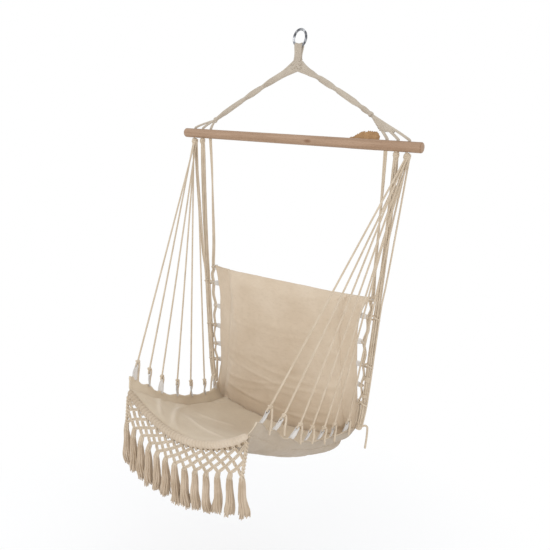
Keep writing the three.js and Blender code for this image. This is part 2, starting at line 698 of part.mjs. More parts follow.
// A diagonal net in one surface: a small block at each knot, with a cord from each of its sloping sides.
function netMesh() {
  const triangles = [];
  const add = (a, b, c) => triangles.push(...a.toArray(), ...b.toArray(), ...c.toArray());
  const quad = (a, b, c, d) => {
    add(a, b, c);
    add(a, c, d);
  };
  const isKnot = (column, row) => column >= 0 && column <= netColumns && row >= 0 && row <= netRows;
  const half = netCord * Math.SQRT1_2;
  // Corners of a block in the order right, up, left, down, in front and behind.
  const block = (column, row) => {
    const centre = netPoint(column, row);
    return [-1, 1].map((deep) => [[1, 0], [0, 1], [-1, 0], [0, -1]].map(([right, up]) =>
      centre.clone().add(vec(right * half, (deep * netCord) / 2, up * half))));
  };
  // Each sloping side runs from one corner to the next and looks to the neighbour named with it.
  const sides = [[0, 1, 1, -1], [1, 2, -1, -1], [2, 3, -1, 1], [3, 0, 1, 1]];
  for (let row = 0; row <= netRows; row += 1) {
    for (let column = (row + 1) % 2; column <= netColumns; column += 2) {
      const [front, rear] = block(column, row);
      quad(front[0], front[1], front[2], front[3]);
      quad(rear[3], rear[2], rear[1], rear[0]);
      for (const [from, to, right, down] of sides) {
        if (!isKnot(column + right, row + down)) {
          quad(front[to], front[from], rear[from], rear[to]);
        } else if (down === 1) {
          const [nextFront, nextRear] = block(column + right, row + down);
          const [nextFrom, nextTo] = [(from + 2) % 4, (to + 2) % 4];
          quad(front[to], front[from], nextFront[nextTo], nextFront[nextFrom]);
          quad(rear[from], rear[to], nextRear[nextFrom], nextRear[nextTo]);
          quad(front[from], rear[from], nextRear[nextTo], nextFront[nextTo]);
          quad(rear[to], front[to], nextFront[nextFrom], nextRear[nextFrom]);
        }
      }
    }
  }
  const geometry = new THREE.BufferGeometry();
  geometry.setAttribute('position', new THREE.Float32BufferAttribute(triangles, 3));
  return geometry;
}

function fringeNet() {
  const pieces = [netMesh()];
  for (const column of [0, netColumns]) {
    pieces.push(cordAlong([netPoint(column, 0.3), netPoint(column, netRows)], netEdgeCord / 2, cordSides, 2));
  }
  for (const column of tasselColumns) pieces.push(smallBallAt(netPoint(column, netRows), netKnotDiameter / 2));
  return geometryOf(join(pieces));
}

// A tassel hangs from a knot of the net, and its top is hollowed for that knot.
function tassel(knot) {
  const down = vec(0, tasselLean, -1).normalize();
  const across = vec(1, 0, 0);
  const deep = across.clone().cross(down).negate();
  const rings = tasselShares.map(([share, wide]) => Array.from({ length: tasselSides }, (_, side) => {
    const angle = (2 * Math.PI * side) / tasselSides;
    return knot.clone().addScaledVector(down, share * tasselLength)
      .addScaledVector(across, (wide * tasselDiameter * Math.cos(angle)) / 2)
      .addScaledVector(deep, (wide * tasselDiameter * Math.sin(angle)) / 2);
  }));
  return geometryOf(cut(solidOf(loft(rings)), [smallSocketAt(knot, netKnotDiameter / 2 + turnGap)]));
}

// Materials

const finish = (color, roughness, metalness = 0) => new THREE.MeshStandardMaterial({ color, roughness, metalness });
const steel = finish(0xc9ccd0, 0.15, 1);
const wood = finish(0xb69b82, 0.6);
const cord = finish(0xcdbda0, 0.9);
const canvas = finish(0xc8b69b, 0.95);
const tape = finish(0xd9d2c6, 0.9);
const tan = finish(0xb08b5e, 0.8);

// Assembly, in the frame of the bar and then hung from the ring

const chair = new THREE.Group();
chair.position.z = -hangHeight;

function place(name, geometry, material, mirrored = false) {
  const mesh = new THREE.Mesh(geometry, material);
  mesh.name = name;
  if (mirrored) mesh.scale.x = -1;
  chair.add(mesh);
}

function placePair(name, geometry, material) {
  place(name + '_right', geometry, material);
  place(name + '_left', geometry, material, true);
}

place('hanging_ring', hangingRing(), steel);
place('top_loop', topLoop(), cord);
place('gathering_knot', gatheringKnot(), cord);
place('bridle_leg_right', bridleLeg(1, rightSplitX, rightSplitHeight, true), cord);
place('bridle_leg_left', bridleLeg(-1, leftSplitX, leftSplitHeight, false), cord);
place('spreader_bar', spreaderBar(), wood);
place('bar_tab', barTab(), tan);
placePair('outer_knot', ballAt(outerKnotCentre, outerKnotRadius), cord);
fanPlaceShares.forEach((_, index) => placePair('fan_cord_' + (index + 1), fanCord(index), cord));
placePair('outer_cord', outerCord(), cord);
placePair('rear_bundle', rearBundle(), cord);
placePair('lacing_cord', lacingCord(), cord);
placePair('corner_knot', cornerKnot(), cord);
place('seat_pad', seatPad(), canvas);
place('back_pad', backPad(), canvas);
placePair('seat_side_band', seatSideBand(), tape);
placePair('back_side_band', backSideBand(), tape);
place('front_hem', frontHem(), canvas);
place('fringe_net', fringeNet(), cord);
tasselColumns.forEach((column, index) => place('tassel_' + (index + 1), tassel(netPoint(column, netRows)), cord));

const part = new THREE.Group();
part.add(chair);

export default part;
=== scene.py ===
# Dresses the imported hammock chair: each cord, cloth and tassel as its own piece, then floor, light, camera.
import math
import random

import bmesh
import bpy
import numpy as np
from mathutils import Matrix, Vector, noise


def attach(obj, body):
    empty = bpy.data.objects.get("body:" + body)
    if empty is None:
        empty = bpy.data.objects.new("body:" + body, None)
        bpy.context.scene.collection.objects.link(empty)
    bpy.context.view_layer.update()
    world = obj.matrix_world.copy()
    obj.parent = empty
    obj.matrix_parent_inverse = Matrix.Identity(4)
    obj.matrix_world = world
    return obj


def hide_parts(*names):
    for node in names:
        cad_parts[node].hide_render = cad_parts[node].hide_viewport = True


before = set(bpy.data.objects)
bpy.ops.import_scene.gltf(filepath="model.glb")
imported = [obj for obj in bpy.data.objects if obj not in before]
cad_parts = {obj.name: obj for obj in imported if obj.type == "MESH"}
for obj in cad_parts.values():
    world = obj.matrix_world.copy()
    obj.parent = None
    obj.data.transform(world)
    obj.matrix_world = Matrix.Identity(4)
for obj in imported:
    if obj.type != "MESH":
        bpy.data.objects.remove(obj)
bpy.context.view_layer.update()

MM = 0.001
ROUND = 2 * math.pi

# Hanging gear. Heights are above the axis of the spreader bar, drops are below it.
HANG_HEIGHT = 339 * MM
RING_OUTER_DIAMETER = 60 * MM
RING_WIRE_DIAMETER = 7 * MM
RING_SWELL = 1.12
RING_TURN = math.radians(-13)
RING_WELD_TURN = math.pi * 1.12
LOOP_WIDTH = 27 * MM
LOOP_WAIST = 23 * MM
LOOP_CORDS = 6
LOOP_LIFT = 0.6 * MM
LOOP_SWAY = 0.8 * MM
KNOT_HEIGHT = 241 * MM
LEG_WIDTH = 16 * MM
LEG_NECK = 17.5 * MM
LEG_CORDS = 8
LEG_PAIR_GAP = 4.6 * MM
LEFT_SPLIT = (-318 * MM, 0, 50 * MM)
RIGHT_SPLIT = (275 * MM, 0, 88 * MM)
WEB_SHARE = 0.62
WEB_ROWS = 10
WEB_COLUMNS = 7
WEB_LIFT = 1.6 * MM
GATHER_CORDS = 10
# Stops of a gathering cord from the knot's middle, in mm: x by its side, x by its lane, y by its layer, z,
# and z by its lane
GATHER_STOPS = [(-7, 2, 4.5, 13, 0), (-5, 0, 4.5, 6, -2), (3, 0, 5.4, -4, -9), (16, 0, 4.5, -13, -12)]
# Half turns of each leg's ribbon at shares of its length, for the leg with the web and the other one
LEG_TURNS = {True: ((0, 0.2, 0.3, 0.45, 0.55, 0.78, 0.9, 1), (0, 0, 0.75, 1.0, 1.75, 2.0, 2.9, 3.0)),
             False: ((0, 0.3, 0.42, 0.52, 0.64, 0.85, 1), (0, 0, 0.8, 1.0, 1.8, 2.0, 2.6))}
# Where each leg bows, as a share of its length, and how much, in leg widths
LEG_BOW_SHARES = [(0.12, -0.36), (0.3, -0.08), (0.55, 1 / 12), (0.8, 1 / 8)]
LEG_WIDTHS = [(0, 39 * MM), (0.06, 30 * MM), (0.13, 21 * MM), (0.2, LEG_NECK), (0.6, LEG_NECK * 0.95),
              (0.85, LEG_NECK * 0.85), (1, LEG_NECK * 0.6)]
LEG_DEPTHS = ((0, 0.15, 0.3, 1), (11 * MM, 11 * MM, 11.5 * MM, 10 * MM))
LEG_CORD_SHARES = ((0, 0.1, 0.25, 0.75, 0.85, 1), (1.6, 1.2, 1.05, 1.0, 1.02, 0.9))

# Spreader bar and tab
BAR_LENGTH = 900 * MM
BAR_RADIUS = 16 * MM
BAR_END_RADIUS = 6 * MM
HOLE_DIAMETER = 9.6 * MM
HOLES_X = [405 * MM, 370 * MM, 335 * MM]
# Half widths of a drilled hole, as shares, at levels that are shares of the bar's radius
HOLE_PROFILE = [(-2, 1.35), (-1.02, 1.35), (-0.94, 1), (0.94, 1), (1.02, 1.35), (2, 1.35)]
TAB_X = 254 * MM
TAB_LENGTH = 98 * MM
TAB_RISE = 38 * MM
TAB_THICKNESS = 2 * MM
TAB_POINT = 9 * MM
TAB_LIFT = 0.6 * MM
TAB_RIPPLE = 1.5 * MM
TAB_RAGGED = 3 * MM
TAB_RISES = [(0, 0.5), (0.12, 0.62), (0.32, 0.96), (0.6, 1.06), (0.85, 1.06), (1, 0.75)]
BRANCH_MARK = (4.3, -2.0, -47.8)

# Cords
CORD_RADIUS = 3.0 * MM
BUNDLE_RADIUS = 8 * MM
OUTER_KNOT_RADIUS = 12 * MM
OUTER_KNOT_DROP = 28.3 * MM
FAN_KNOT_RADIUS = 8 * MM
CORNER_KNOT_RADIUS = 13 * MM
LAY_PITCH = 15 * MM
LAY_LOBES = 3
DEEP_LAY = 0.2
SHALLOW_LAY = 0.12
FAINT_LAY = 0.06
COIL_STEPS = 26
BUNDLE_TOP_DROP = 11 * MM
BUNDLE_BOW = 9 * MM
BUNDLE_BOWS = [(0, 0), (0.16, 0.6), (0.3, 0.93), (0.4, 1), (0.5, 0.97), (0.69, 0.83), (0.81, 0.8),
               (0.92, 0.6), (1, 0)]
BUNDLE_WRAPS = [(0.8, 3.2), (0.865, 1.6)]
BUNDLE_WRAP_PITCH = 5 * MM
BUNDLE_WRAP_LIFT = 1.2 * MM
BUNDLE_COLLAR_RADIUS = 10.5 * MM
BUNDLE_COLLAR_DROP = 9 * MM
FAN_PLACES = [0.04, 0.17, 0.31, 0.475, 0.63, 0.785, 0.93]
FAN_LEANS = [(0.17, 0.42), (0.3, 0.34), (0.28, 0.36), (0.22, 0.2), (0.24, 0.12), (0.12, 0), (0.12, 0.06)]
FAN_UP = 0.9
FAN_RISE = 50 * MM
FAN_EYE_DROP = 14.3 * MM
FAN_ROOT_PITCH = 5.6 * MM
FAN_TAILS = [80 * MM, 58 * MM, 60 * MM, 52 * MM, 56 * MM, 60 * MM, 54 * MM]
FAN_TURNS = {"right": (0.2, 0, -0.2, 0.1, 0, 0.3, 0), "left": (0.2, -0.6, 1.0, -0.4, -0.7, -0.6, 0.3)}
CORNER_TAIL = 78 * MM
OUTER_CORD_GAP = 1.2 * MM
LACING_TOP_DROP = 13.5 * MM
HITCH_REACH = 6 * MM
# Ways of a lacing loop round the bundle, as shares of its reach from the bundle's middle
LACING_LOOP = [(-0.7, -0.8, 0.9), (0.1, -1.15, 0.5), (1, -0.5, 0), (0.9, 0.7, -0.6), (-0.3, 1.1, -0.9)]

# Sling
TIP_REACH = 434 * MM
TIP_DROP = 771 * MM
TIP_HALF_WIDTH = 239 * MM
HEM_REACH = 452 * MM
HEM_DROP = 895 * MM
CORNER_REACH = 105 * MM
CORNER_DROP = 950 * MM
CORNER_HALF_WIDTH = 300 * MM
CREASE_REACH = 109 * MM
CREASE_DROP = 1045 * MM
BACK_TOP_REACH = 37 * MM
BACK_TOP_DROP = 479 * MM
BACK_TOP_HALF_WIDTH = 318 * MM
FRONT_PULL = (9 * MM, -13 * MM, 10 * MM)
FRONT_PULL_DEPTH = 0.07
FRONT_PULL_SHARES = ((0, 0.5, 0.8, 0.87, 0.93, 1), (0, 0, 0.75, 1, 0.75, 0))
BAND_THICKNESS = 3.5 * MM
BAND_RUFFLE = 1.2 * MM
BAND_SCALLOPS = ((0.04, 0.3, 0.6, 1), (12 * MM, 8 * MM, 4 * MM, 3 * MM))
TAPE_THICKNESS = 1.4 * MM
TAPE_WIDTH = 19 * MM
TAPE_NECK = 7 * MM
TAPE_RIPPLE = 0.5 * MM
# Stops of a tape's two sides from foot to eye: share of the way, distance off it and share of the width
TAPE_OUTER = [(0, -1.6 * MM, 1), (0.45, 1.4 * MM, 0.95), (0.8, 2 * MM, 0.7)]
TAPE_INNER = [(0, -3.4 * MM, 1), (0.45, -1.0 * MM, 0.95), (0.8, -1.6 * MM, 0.7)]
HEM_RADIUS = 12 * MM
HEM_WRAPS = 46
HEM_SLANT = 1.4
HEM_SLANT_TURN = 0.8
HEM_WAIST = 0.73
HEM_END = 0.9
HEM_TAPER = ((0, 0.8, 0.88, 0.93, 1), (1, 0.92, 0.8, 0.55, 0.4))
WHIP_RADIUS = 2.2 * MM
WHIP_SINK = 1.4 * MM

# Pads. The tables give thickness over and under the middle surface, by shares of the way from front to rear.
PAD_ROWS = 64
SEAT_OVER = [(0, 9 * MM), (0.12, 12 * MM), (0.25, 16 * MM), (0.4, 18 * MM), (0.6, 24 * MM), (0.8, 29 * MM),
             (0.92, 33 * MM), (1, 34 * MM)]
SEAT_UNDER = [(0, 8 * MM), (0.2, 9 * MM), (0.4, 7 * MM), (0.6, 7 * MM), (0.75, 10 * MM), (0.88, 17 * MM),
              (1, 20 * MM)]
SEAT_RIM = 3 * MM
BACK_HALF_DEPTH = [(0, 16 * MM), (1, 16 * MM)]
BACK_RIM = 3.5 * MM
SEAT_SWELL = 4 * MM
BACK_SWELL = 5 * MM
SEAT_PAD_EDGE = [(0, 0.905), (0.12, 0.925), (0.3, 0.94), (0.75, 0.94), (0.9, 0.915), (1, 0.88)]
SEAT_PAD_FRONT = 0.94
SLANT_REACH = 0.05
SEAT_SEAM_GAP = 0.9 * MM
SEAT_PAD_END = 0.977
SEAT_PAD_REAR = 0.87
BACK_PAD_TOP = 0.77
CLOTH_SETTINGS = {"quality": 5, "mass": 0.3, "tension_stiffness": 12, "compression_stiffness": 12,
                  "shear_stiffness": 4, "bending_stiffness": 0.3, "shrink_min": -0.02, "use_pressure": True,
                  "uniform_pressure_force": 4, "vertex_group_mass": "seams"}
CLOTH_STEPS = 20
BROAD_ROLL = 1.2 * MM
FINE_ROLL = 0.6 * MM
# Folds a sitter left, their crests also painted pale as painted highlight: the two places of the middle,
# turn, height, length and width
SEAT_FOLDS = [(-0.155, -0.31, -0.95, 6 * MM, 0.13, 0.008), (-0.18, -0.36, -0.8, 4 * MM, 0.07, 0.007),
              (-0.12, -0.13, 0.7, 4 * MM, 0.06, 0.011), (-0.05, -0.3, -0.3, 3 * MM, 0.1, 0.011)]
# Small creases: least value, greatest value and power of the chance for each of the same six values
SEAT_CREASES = [(-0.2, 0.2, 1), (-0.4, 0.0, 1), (0.5, 1.3, 1), (-1.5 * MM, 1.5 * MM, 1), (0.05, 0.12, 1),
                (0.007, 0.014, 1)]
BACK_CREASES = [(-0.24, 0.24, 1), (-1.0, -0.62, 1.3), (-0.07, 0.12, 1), (-1.8 * MM, 2.0 * MM, 1),
                (0.1, 0.3, 1), (0.006, 0.013, 1)]

# Fringe
NET_MIDDLE_DROP = 967 * MM
NET_SIDE_DROP = 932 * MM
NET_MIDDLE_REACH = 480 * MM
NET_SIDE_REACH = 452 * MM
NET_COLUMNS = 24
NET_ROWS = 4
NET_CORD_RADIUS = 2.4 * MM
NET_KNOT_RADIUS = 4.6 * MM
NET_LAY_PITCH = 9 * MM
NET_TOP_DROP = 7 * MM
NET_WIDTH_SHARE = 0.93
NET_TOP_SHARE = 0.86
NET_LIFTS = ((0, 0.08, 0.17, 0.25, 0.33, 0.42, 0.5, 0.58, 0.67, 0.75, 0.83, 0.92, 1),
             tuple(rise * MM for rise in (24, 29, 26, 22, 15, 12, 9, 5, 8, 9, 15, 17, 4)))
HEM_LOOP_RADIUS = 2.3 * MM
SIDE_CORD_RADIUS = 3.1 * MM
STEM_STRANDS = 14
STEM_RADIUS = 2.1 * MM
STEM_END = 4 * MM
TASSEL_LENGTH = 128 * MM
TASSEL_RADIUS = 12.5 * MM
TASSEL_LEAN = 0.14
TASSEL_STRANDS = 30
TASSEL_CLUMPS = 5
STRAND_SWAY = 3 * MM
STRAND_LURCH = 2 * MM
TASSEL_WIDTHS = [(0, 0.56), (0.1, 0.66), (0.25, 0.74), (0.5, 0.86), (0.7, 0.98), (0.86, 1.1), (1, 1.12)]
STRAND_RADII = ((0, 0.3, 0.8, 1), (2.0 * MM, 2.4 * MM, 2.6 * MM, 1.5 * MM))
GOLDEN_ANGLE = 2.399963

# Share tables, the same as the solids'
SEAT_HALF_WIDTH = [(0, 0.797), (0.04, 0.81), (0.17, 0.82), (0.31, 0.868), (0.475, 0.877), (0.63, 0.887),
                   (0.785, 0.9), (0.93, 0.945), (1, 1)]
SEAT_EDGE_FALL = [(0, 0), (0.04, 0.06), (0.17, 0.3), (0.31, 0.57), (0.475, 0.775), (0.63, 0.92),
                  (0.785, 1.01), (0.93, 1.04), (1, 1)]
SEAT_MIDDLE_FALL = [(0, 0), (0.28, 0.37), (0.57, 0.83), (0.78, 1), (1, 1)]
SEAT_FLAT = [(0, 0.7), (0.3, 0.45), (0.6, 0.46), (1, 0.45)]
BACK_HALF_WIDTH = [(0, 0), (0.1, 0.1), (0.22, -0.35), (0.4, -0.5), (0.6, -0.7), (0.78, -0.75), (0.92, 0),
                   (1, 1)]
BACK_CURL = [(0, 0), (0.1, 0.8), (0.22, 0.85), (0.4, 0.6), (0.6, 0.5), (0.78, 0.45), (0.92, 0.6), (1, 1)]
BACK_CURL_SHARE = 0.38
BACK_LOOPS = [0.985, 0.86, 0.67, 0.5, 0.34, 0.2]
BACK_LOOP_REACHES = [0.45, 0.7, 0.6, 0.75, 0.8, 0.7]

# Camera: its place from the bar's centre, its turn round the chair, its height angle, its roll and its lens
CAMERA_PLACE = (1055.0 * MM, -1730.4 * MM, -83.2 * MM)
CAMERA_AZIMUTH = math.radians(31.68)
CAMERA_ELEVATION = math.radians(10.41)
CAMERA_ROLL = math.radians(5.2)
CAMERA_LENS = 39.48
CAMERA_SIGHT = 40

# Floor and light. Each lamp has its place, size and power.
FLOOR_DROP = 1.5
FLOOR_HALF = 6.0
FLOOR_FADE = 0.35
FLOOR_PALENESS = 0.5
SKY_COLOUR = (0.95, 0.97, 1, 1)
LAMP_AIM = (0, -0.1, -1.0)
LAMPS = {"key": ((-1.6, -2.6, 0.6), 2.2, 15),
         "fill": ((2.4, -2.6, -0.4), 2.4, 24),
         "rim": ((0.4, 2.8, 1.4), 2.2, 10)}

# Colours, from 0 to 255, and the cloth's threads
WHITE = (255, 255, 255)
# Colour and strength of the painted highlight along the seat's fold crests
HIGHLIGHT_COLOUR = (0.78, 0.68, 0.56, 1)
HIGHLIGHT_STRENGTH = 0.42
THREAD_WIDTH = 0.9 * MM

SIDES = {"right": 1, "left": -1}


# Small helpers

def vec(x, y, z):
    return np.array([x, y, z], float)


def mm(x, y, z):
    return vec(x, y, z) * MM


def mix(start, end, share):
    return start + (end - start) * share


def unit(vector):
    return vector / np.linalg.norm(vector, axis=-1, keepdims=True)


def stack(x, y, z):
    return np.stack(np.broadcast_arrays(x, y, z), axis=-1).astype(float)


def circle(sides):
    """Angles at even steps round a circle."""
    return np.linspace(0, ROUND, sides, endpoint=False)


def hump(place, middle, width):
    """Soft hump with its crest of 1 at the middle."""
    return np.exp(-((place - middle) / width) ** 2)


def read_table(rows, place):
    """Smooth value of a table of (place, value) rows, for a number or an array."""
    x, y = np.asarray(rows, float).T
    before = np.maximum(np.arange(len(x)) - 1, 0)
    after = np.minimum(np.arange(len(x)) + 1, len(x) - 1)
    slope = (y[after] - y[before]) / (x[after] - x[before])
    place = np.asarray(place, float)
    row = np.clip(np.searchsorted(x, place) - 1, 0, len(x) - 2)
    span = x[row + 1] - x[row]
    share = (place - x[row]) / span
    values = y[row] * (2 * share ** 3 - 3 * share ** 2 + 1) + y[row + 1] * (3 * share ** 2 - 2 * share ** 3)
    slopes = slope[row] * (share ** 3 - 2 * share ** 2 + share) + slope[row + 1] * (share ** 3 - share ** 2)
    return values + slopes * span


def run_of(path):
    """Length along a path at each of its points."""
    return np.concatenate([[0], np.cumsum(np.linalg.norm(np.diff(path, axis=0), axis=1))])


def read_path(place, places, path):
    """Points of a path at places between the given ones of its points."""
    return np.stack([np.interp(place, places, path[:, axis]) for axis in range(3)], axis=-1)


def smooth_path(points, step=3 * MM):
    """Points at even steps on a smooth curve through the given ones."""
    points = np.asarray(points, float)
    place = run_of(points)
    fine = np.linspace(0, place[-1], 4 * max(2, int(place[-1] / step)))
    dense = np.column_stack([read_table(np.column_stack([place, values]), fine) for values in points.T])
    run = run_of(dense)
    return read_path(np.linspace(0, run[-1], max(3, int(round(run[-1] / step)) + 1)), run, dense)


def frames_of(path, normal=(0, 1, 0)):
    """Unit tangent, normal and binormal at each point, turning as little as they can."""
    tangent = unit(np.gradient(path, axis=0))
    start = np.asarray(normal, float)
    if abs(start @ tangent[0]) > 0.95:
        start = vec(1, 0, 0)
    normals = np.empty_like(tangent)
    for index, along in enumerate(tangent):
        start = unit(start - along * (start @ along))
        normals[index] = start
    return tangent, normals, np.cross(tangent, normals)


def off_path(path, side, sideways, up, upwards):
    """Points set off from a path in two cross directions: one for each point, or a row for each."""
    if sideways.ndim == 2:
        path, side, up = path[:, None], side[:, None], up[:, None]
    return path + side * sideways[..., None] + up * upwards[..., None]


def around(path, side, up, radius, angle):
    """Points round a path: one for each angle, or a ring where the angles or radii have rows."""
    return off_path(path, side, radius * np.cos(angle), up, radius * np.sin(angle))


class Shape:
    """Vertices and faces gathered from several tubes and surfaces, before they become one mesh."""

    def __init__(self):
        self.points = []
        self.faces = []
        self.count = 0
        self.shaded_faces = (0, 0)

    def add(self, points, faces):
        points = np.asarray(points, float).reshape(-1, 3)
        self.faces.extend([tuple(int(corner) + self.count for corner in face) for face in faces])
        self.points.append(points)
        self.count += len(points)

    def tube(self, path, radius, sides=10, groove=0.0, phase=0.0, pitch=LAY_PITCH):
        """Closed tube along a path. A groove gives it the lay of a twisted cord."""
        path = np.asarray(path, float)
        _, side, up = frames_of(path)
        angle = circle(sides)
        size = np.broadcast_to(radius, len(path))[:, None] * np.ones(sides)
        if groove:
            turn = ROUND * run_of(path)[:, None] / pitch
            size = size * (1 - groove + groove * np.abs(np.cos(LAY_LOBES / 2 * (angle - turn) + phase)))
        self.rings(around(path, side, up, size, angle))

    def cord(self, points, radius, sides=10, step=2 * MM, **lay):
        """Tube along the smooth curve through some points."""
        self.tube(smooth_path(points, step), radius, sides, **lay)

    def rings(self, ring, looped=False):
        """Skin over rings of points that turn right-handed about their advance, capped unless looped."""
        steps, sides = ring.shape[:2]
        index = np.arange(steps * sides).reshape(steps, sides)
        here = index if looped else index[:-1]
        there = np.roll(index, -1, axis=0) if looped else index[1:]
        quads = np.stack([here, np.roll(here, -1, axis=1), np.roll(there, -1, axis=1), there], axis=-1)
        faces = [tuple(quad) for quad in quads.reshape(-1, 4)]
        if not looped:
            faces += [tuple(index[0][::-1]), tuple(index[-1])]
        self.add(ring, faces)

    def sheet(self, outer, inner):
        """Closed skin over an outer grid and an inner grid of points. The outer one takes the darker paint of
        painted shade.
        """
        rows, columns = outer.shape[:2]
        size = rows * columns
        index = np.arange(size).reshape(rows, columns)
        quads = np.stack([index[:-1, :-1], index[1:, :-1], index[1:, 1:], index[:-1, 1:]], axis=-1)
        quads = quads.reshape(-1, 4)
        faces = [tuple(quad) for quad in quads]
        self.shaded_faces = (len(self.faces), len(self.faces) + len(faces))
        faces += [tuple(quad[::-1] + size) for quad in quads]
        rim = np.concatenate([index[0, :-1], index[:-1, -1], index[-1, :0:-1], index[:0:-1, 0]])
        faces += [(here, there, there + size, here + size) for here, there in zip(rim, np.roll(rim, -1))]
        self.add(np.concatenate([outer.reshape(-1, 3), inner.reshape(-1, 3)]), faces)


def in_row_frame(points):
    """Points given from the bar's centre, moved to the row frame."""
    return np.asarray(points, float) - vec(0, 0, HANG_HEIGHT)


def piece_from(shape, name, paint, body, slot, *nodes, shaded_faces=False):
    """One mesh object that rides on a body, takes a paint and stands for its CAD nodes. Its slot is not used.
    """
    mesh = bpy.data.meshes.new(name)
    mesh.from_pydata(in_row_frame(np.concatenate(shape.points)).tolist(), [], shape.faces)
    mesh.polygons.foreach_set("use_smooth", [True] * len(mesh.polygons))
    mesh.materials.append(PAINTS[paint])
    # Painted shade: the outer faces take a darker copy of the canvas, standing in for the shade they lie in.
    if shaded_faces:
        mesh.materials.append(PAINTS["underside_shade"])
        first, last = shape.shaded_faces
        inside = [int(first <= face < last) for face in range(len(mesh.polygons))]
        mesh.polygons.foreach_set("material_index", inside)
    mesh.update()
    piece = bpy.data.objects.new(name, mesh)
    bpy.context.scene.collection.objects.link(piece)
    tidy = bmesh.new()
    tidy.from_mesh(mesh)
    bmesh.ops.recalc_face_normals(tidy, faces=tidy.faces)
    tidy.to_mesh(mesh)
    tidy.free()
    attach(piece, body)
    if nodes:
        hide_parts(*nodes)
    return piece


def cord_piece(shape, name, node):
    return piece_from(shape, name, "cord", "sling", "cord", node)


def apply_modifiers(piece):
    """The piece's mesh becomes what its modifiers make of it."""
    bpy.context.view_layer.update()
    made = bpy.data.meshes.new_from_object(piece.evaluated_get(bpy.context.evaluated_depsgraph_get()))
    piece.modifiers.clear()
    piece.data = made
    made.polygons.foreach_set("use_smooth", [True] * len(made.polygons))


def shade(colour):
    """Linear colour of an sRGB one given from 0 to 255."""
    levels = [value / 255 for value in colour]
    linear = [((level + 0.055) / 1.055) ** 2.4 if level > 0.04045 else level / 12.92 for level in levels]
    return linear + [1.0]


# Materials

class Nodes:
    """A node tree, with short calls that add and join nodes. Values are numbers, colours or outputs."""

    def __init__(self, tree):
        self.tree = tree

    def add(self, kind, inputs=None, **settings):
        node = self.tree.nodes.new(kind)
        for name, value in settings.items():
            setattr(node, name, value)
        for name, value in (inputs or {}).items():
            if isinstance(value, bpy.types.NodeSocket):
                self.tree.links.new(value, node.inputs[name])
            else:
                node.inputs[name].default_value = value
        return node

    def math(self, operation, *values):
        return self.add("ShaderNodeMath", dict(enumerate(values)), operation=operation).outputs[0]

    def seen(self):
        """1 for rays that show a surface to the camera, also by a mirror or through glass, else 0."""
        rays = self.add("ShaderNodeLightPath").outputs
        beyond = self.math("MAXIMUM", rays["Is Glossy Ray"], rays["Is Transmission Ray"])
        return self.math("MAXIMUM", rays["Is Camera Ray"], beyond)

    def show(self, share, first, second, output):
        """Gives the output the first shader, and the second in its place for a share."""
        blend = self.add("ShaderNodeMixShader", {0: share, 1: first, 2: second})
        self.tree.links.new(blend.outputs[0], self.tree.nodes[output].inputs["Surface"])


class Paint(Nodes):
    """A node material with one Principled shader."""

    def __init__(self, name, roughness, metallic=0.0):
        self.material = bpy.data.materials.new(name)
        self.material.use_nodes = True
        super().__init__(self.material.node_tree)
        self.shader = self.tree.nodes["Principled BSDF"]
        self.shader.inputs["Roughness"].default_value = roughness
        self.shader.inputs["Metallic"].default_value = metallic
        self.place = self.tree.nodes.new("ShaderNodeTexCoord").outputs["Object"]

    def axes(self):
        return self.add("ShaderNodeSeparateXYZ", {"Vector": self.place}).outputs

    def stretched(self, scale):
        return self.add("ShaderNodeMapping", {"Vector": self.place, "Scale": scale}).outputs[0]

    def noise(self, scale, detail=3.0, roughness=0.5, distortion=0.0):
        """Noise at one scale, or at a scale for each axis."""
        place = self.place
        if isinstance(scale, tuple):
            place = self.stretched(scale)
            scale = 1.0
        inputs = {"Vector": place, "Scale": scale, "Detail": detail, "Roughness": roughness,
                  "Distortion": distortion}
        return self.add("ShaderNodeTexNoise", inputs).outputs["Fac"]

    def ramp(self, factor, *stops):
        """Colours over a factor, from (place, colour) stops."""
        node = self.add("ShaderNodeValToRGB", {"Fac": factor})
        elements = node.color_ramp.elements
        while len(elements) < len(stops):
            elements.new(0.5)
        for element, (place, colour) in zip(elements, stops):
            element.position = place
            element.color = shade(colour)
        return node.outputs["Color"]

    def blend(self, factor, first, second, kind="MULTIPLY"):
        """Two colours blended. The numbers are the sockets that Blender's mix node has for colours."""
        inputs = {0: factor, 6: first, 7: second}
        return self.add("ShaderNodeMix", inputs, data_type="RGBA", blend_type=kind).outputs[2]

    def colour(self, socket):
        self.tree.links.new(socket, self.shader.inputs["Base Color"])

    def rough(self, socket):
        self.tree.links.new(socket, self.shader.inputs["Roughness"])

    def sheen(self, weight):
        self.shader.inputs["Sheen Weight"].default_value = weight

    def bump(self, height, distance, strength=1.0, **under):
        inputs = {"Height": height, "Distance": distance, "Strength": strength, **under}
        normal = self.add("ShaderNodeBump", inputs).outputs["Normal"]
        self.tree.links.new(normal, self.shader.inputs["Normal"])
        return normal


def chrome_paint():
    paint = Paint("chrome", 0.2, 1.0)
    # Painted reflection: dark and pale streaks in the steel's colour stand in for the room mirrored in the
    # chrome.
    painted_light_streaks = paint.noise((80, 40, 60), 2, 0.4)
    paint.colour(paint.ramp(painted_light_streaks, (0.42, (90, 92, 97)), (0.52, (142, 144, 148)), (0.64, (196, 198, 202))))
    paint.rough(paint.math("MULTIPLY_ADD", paint.noise(240, 4), 0.1, 0.16))
    paint.bump(paint.noise(420, 2), 0.01 * MM)
    return paint.material


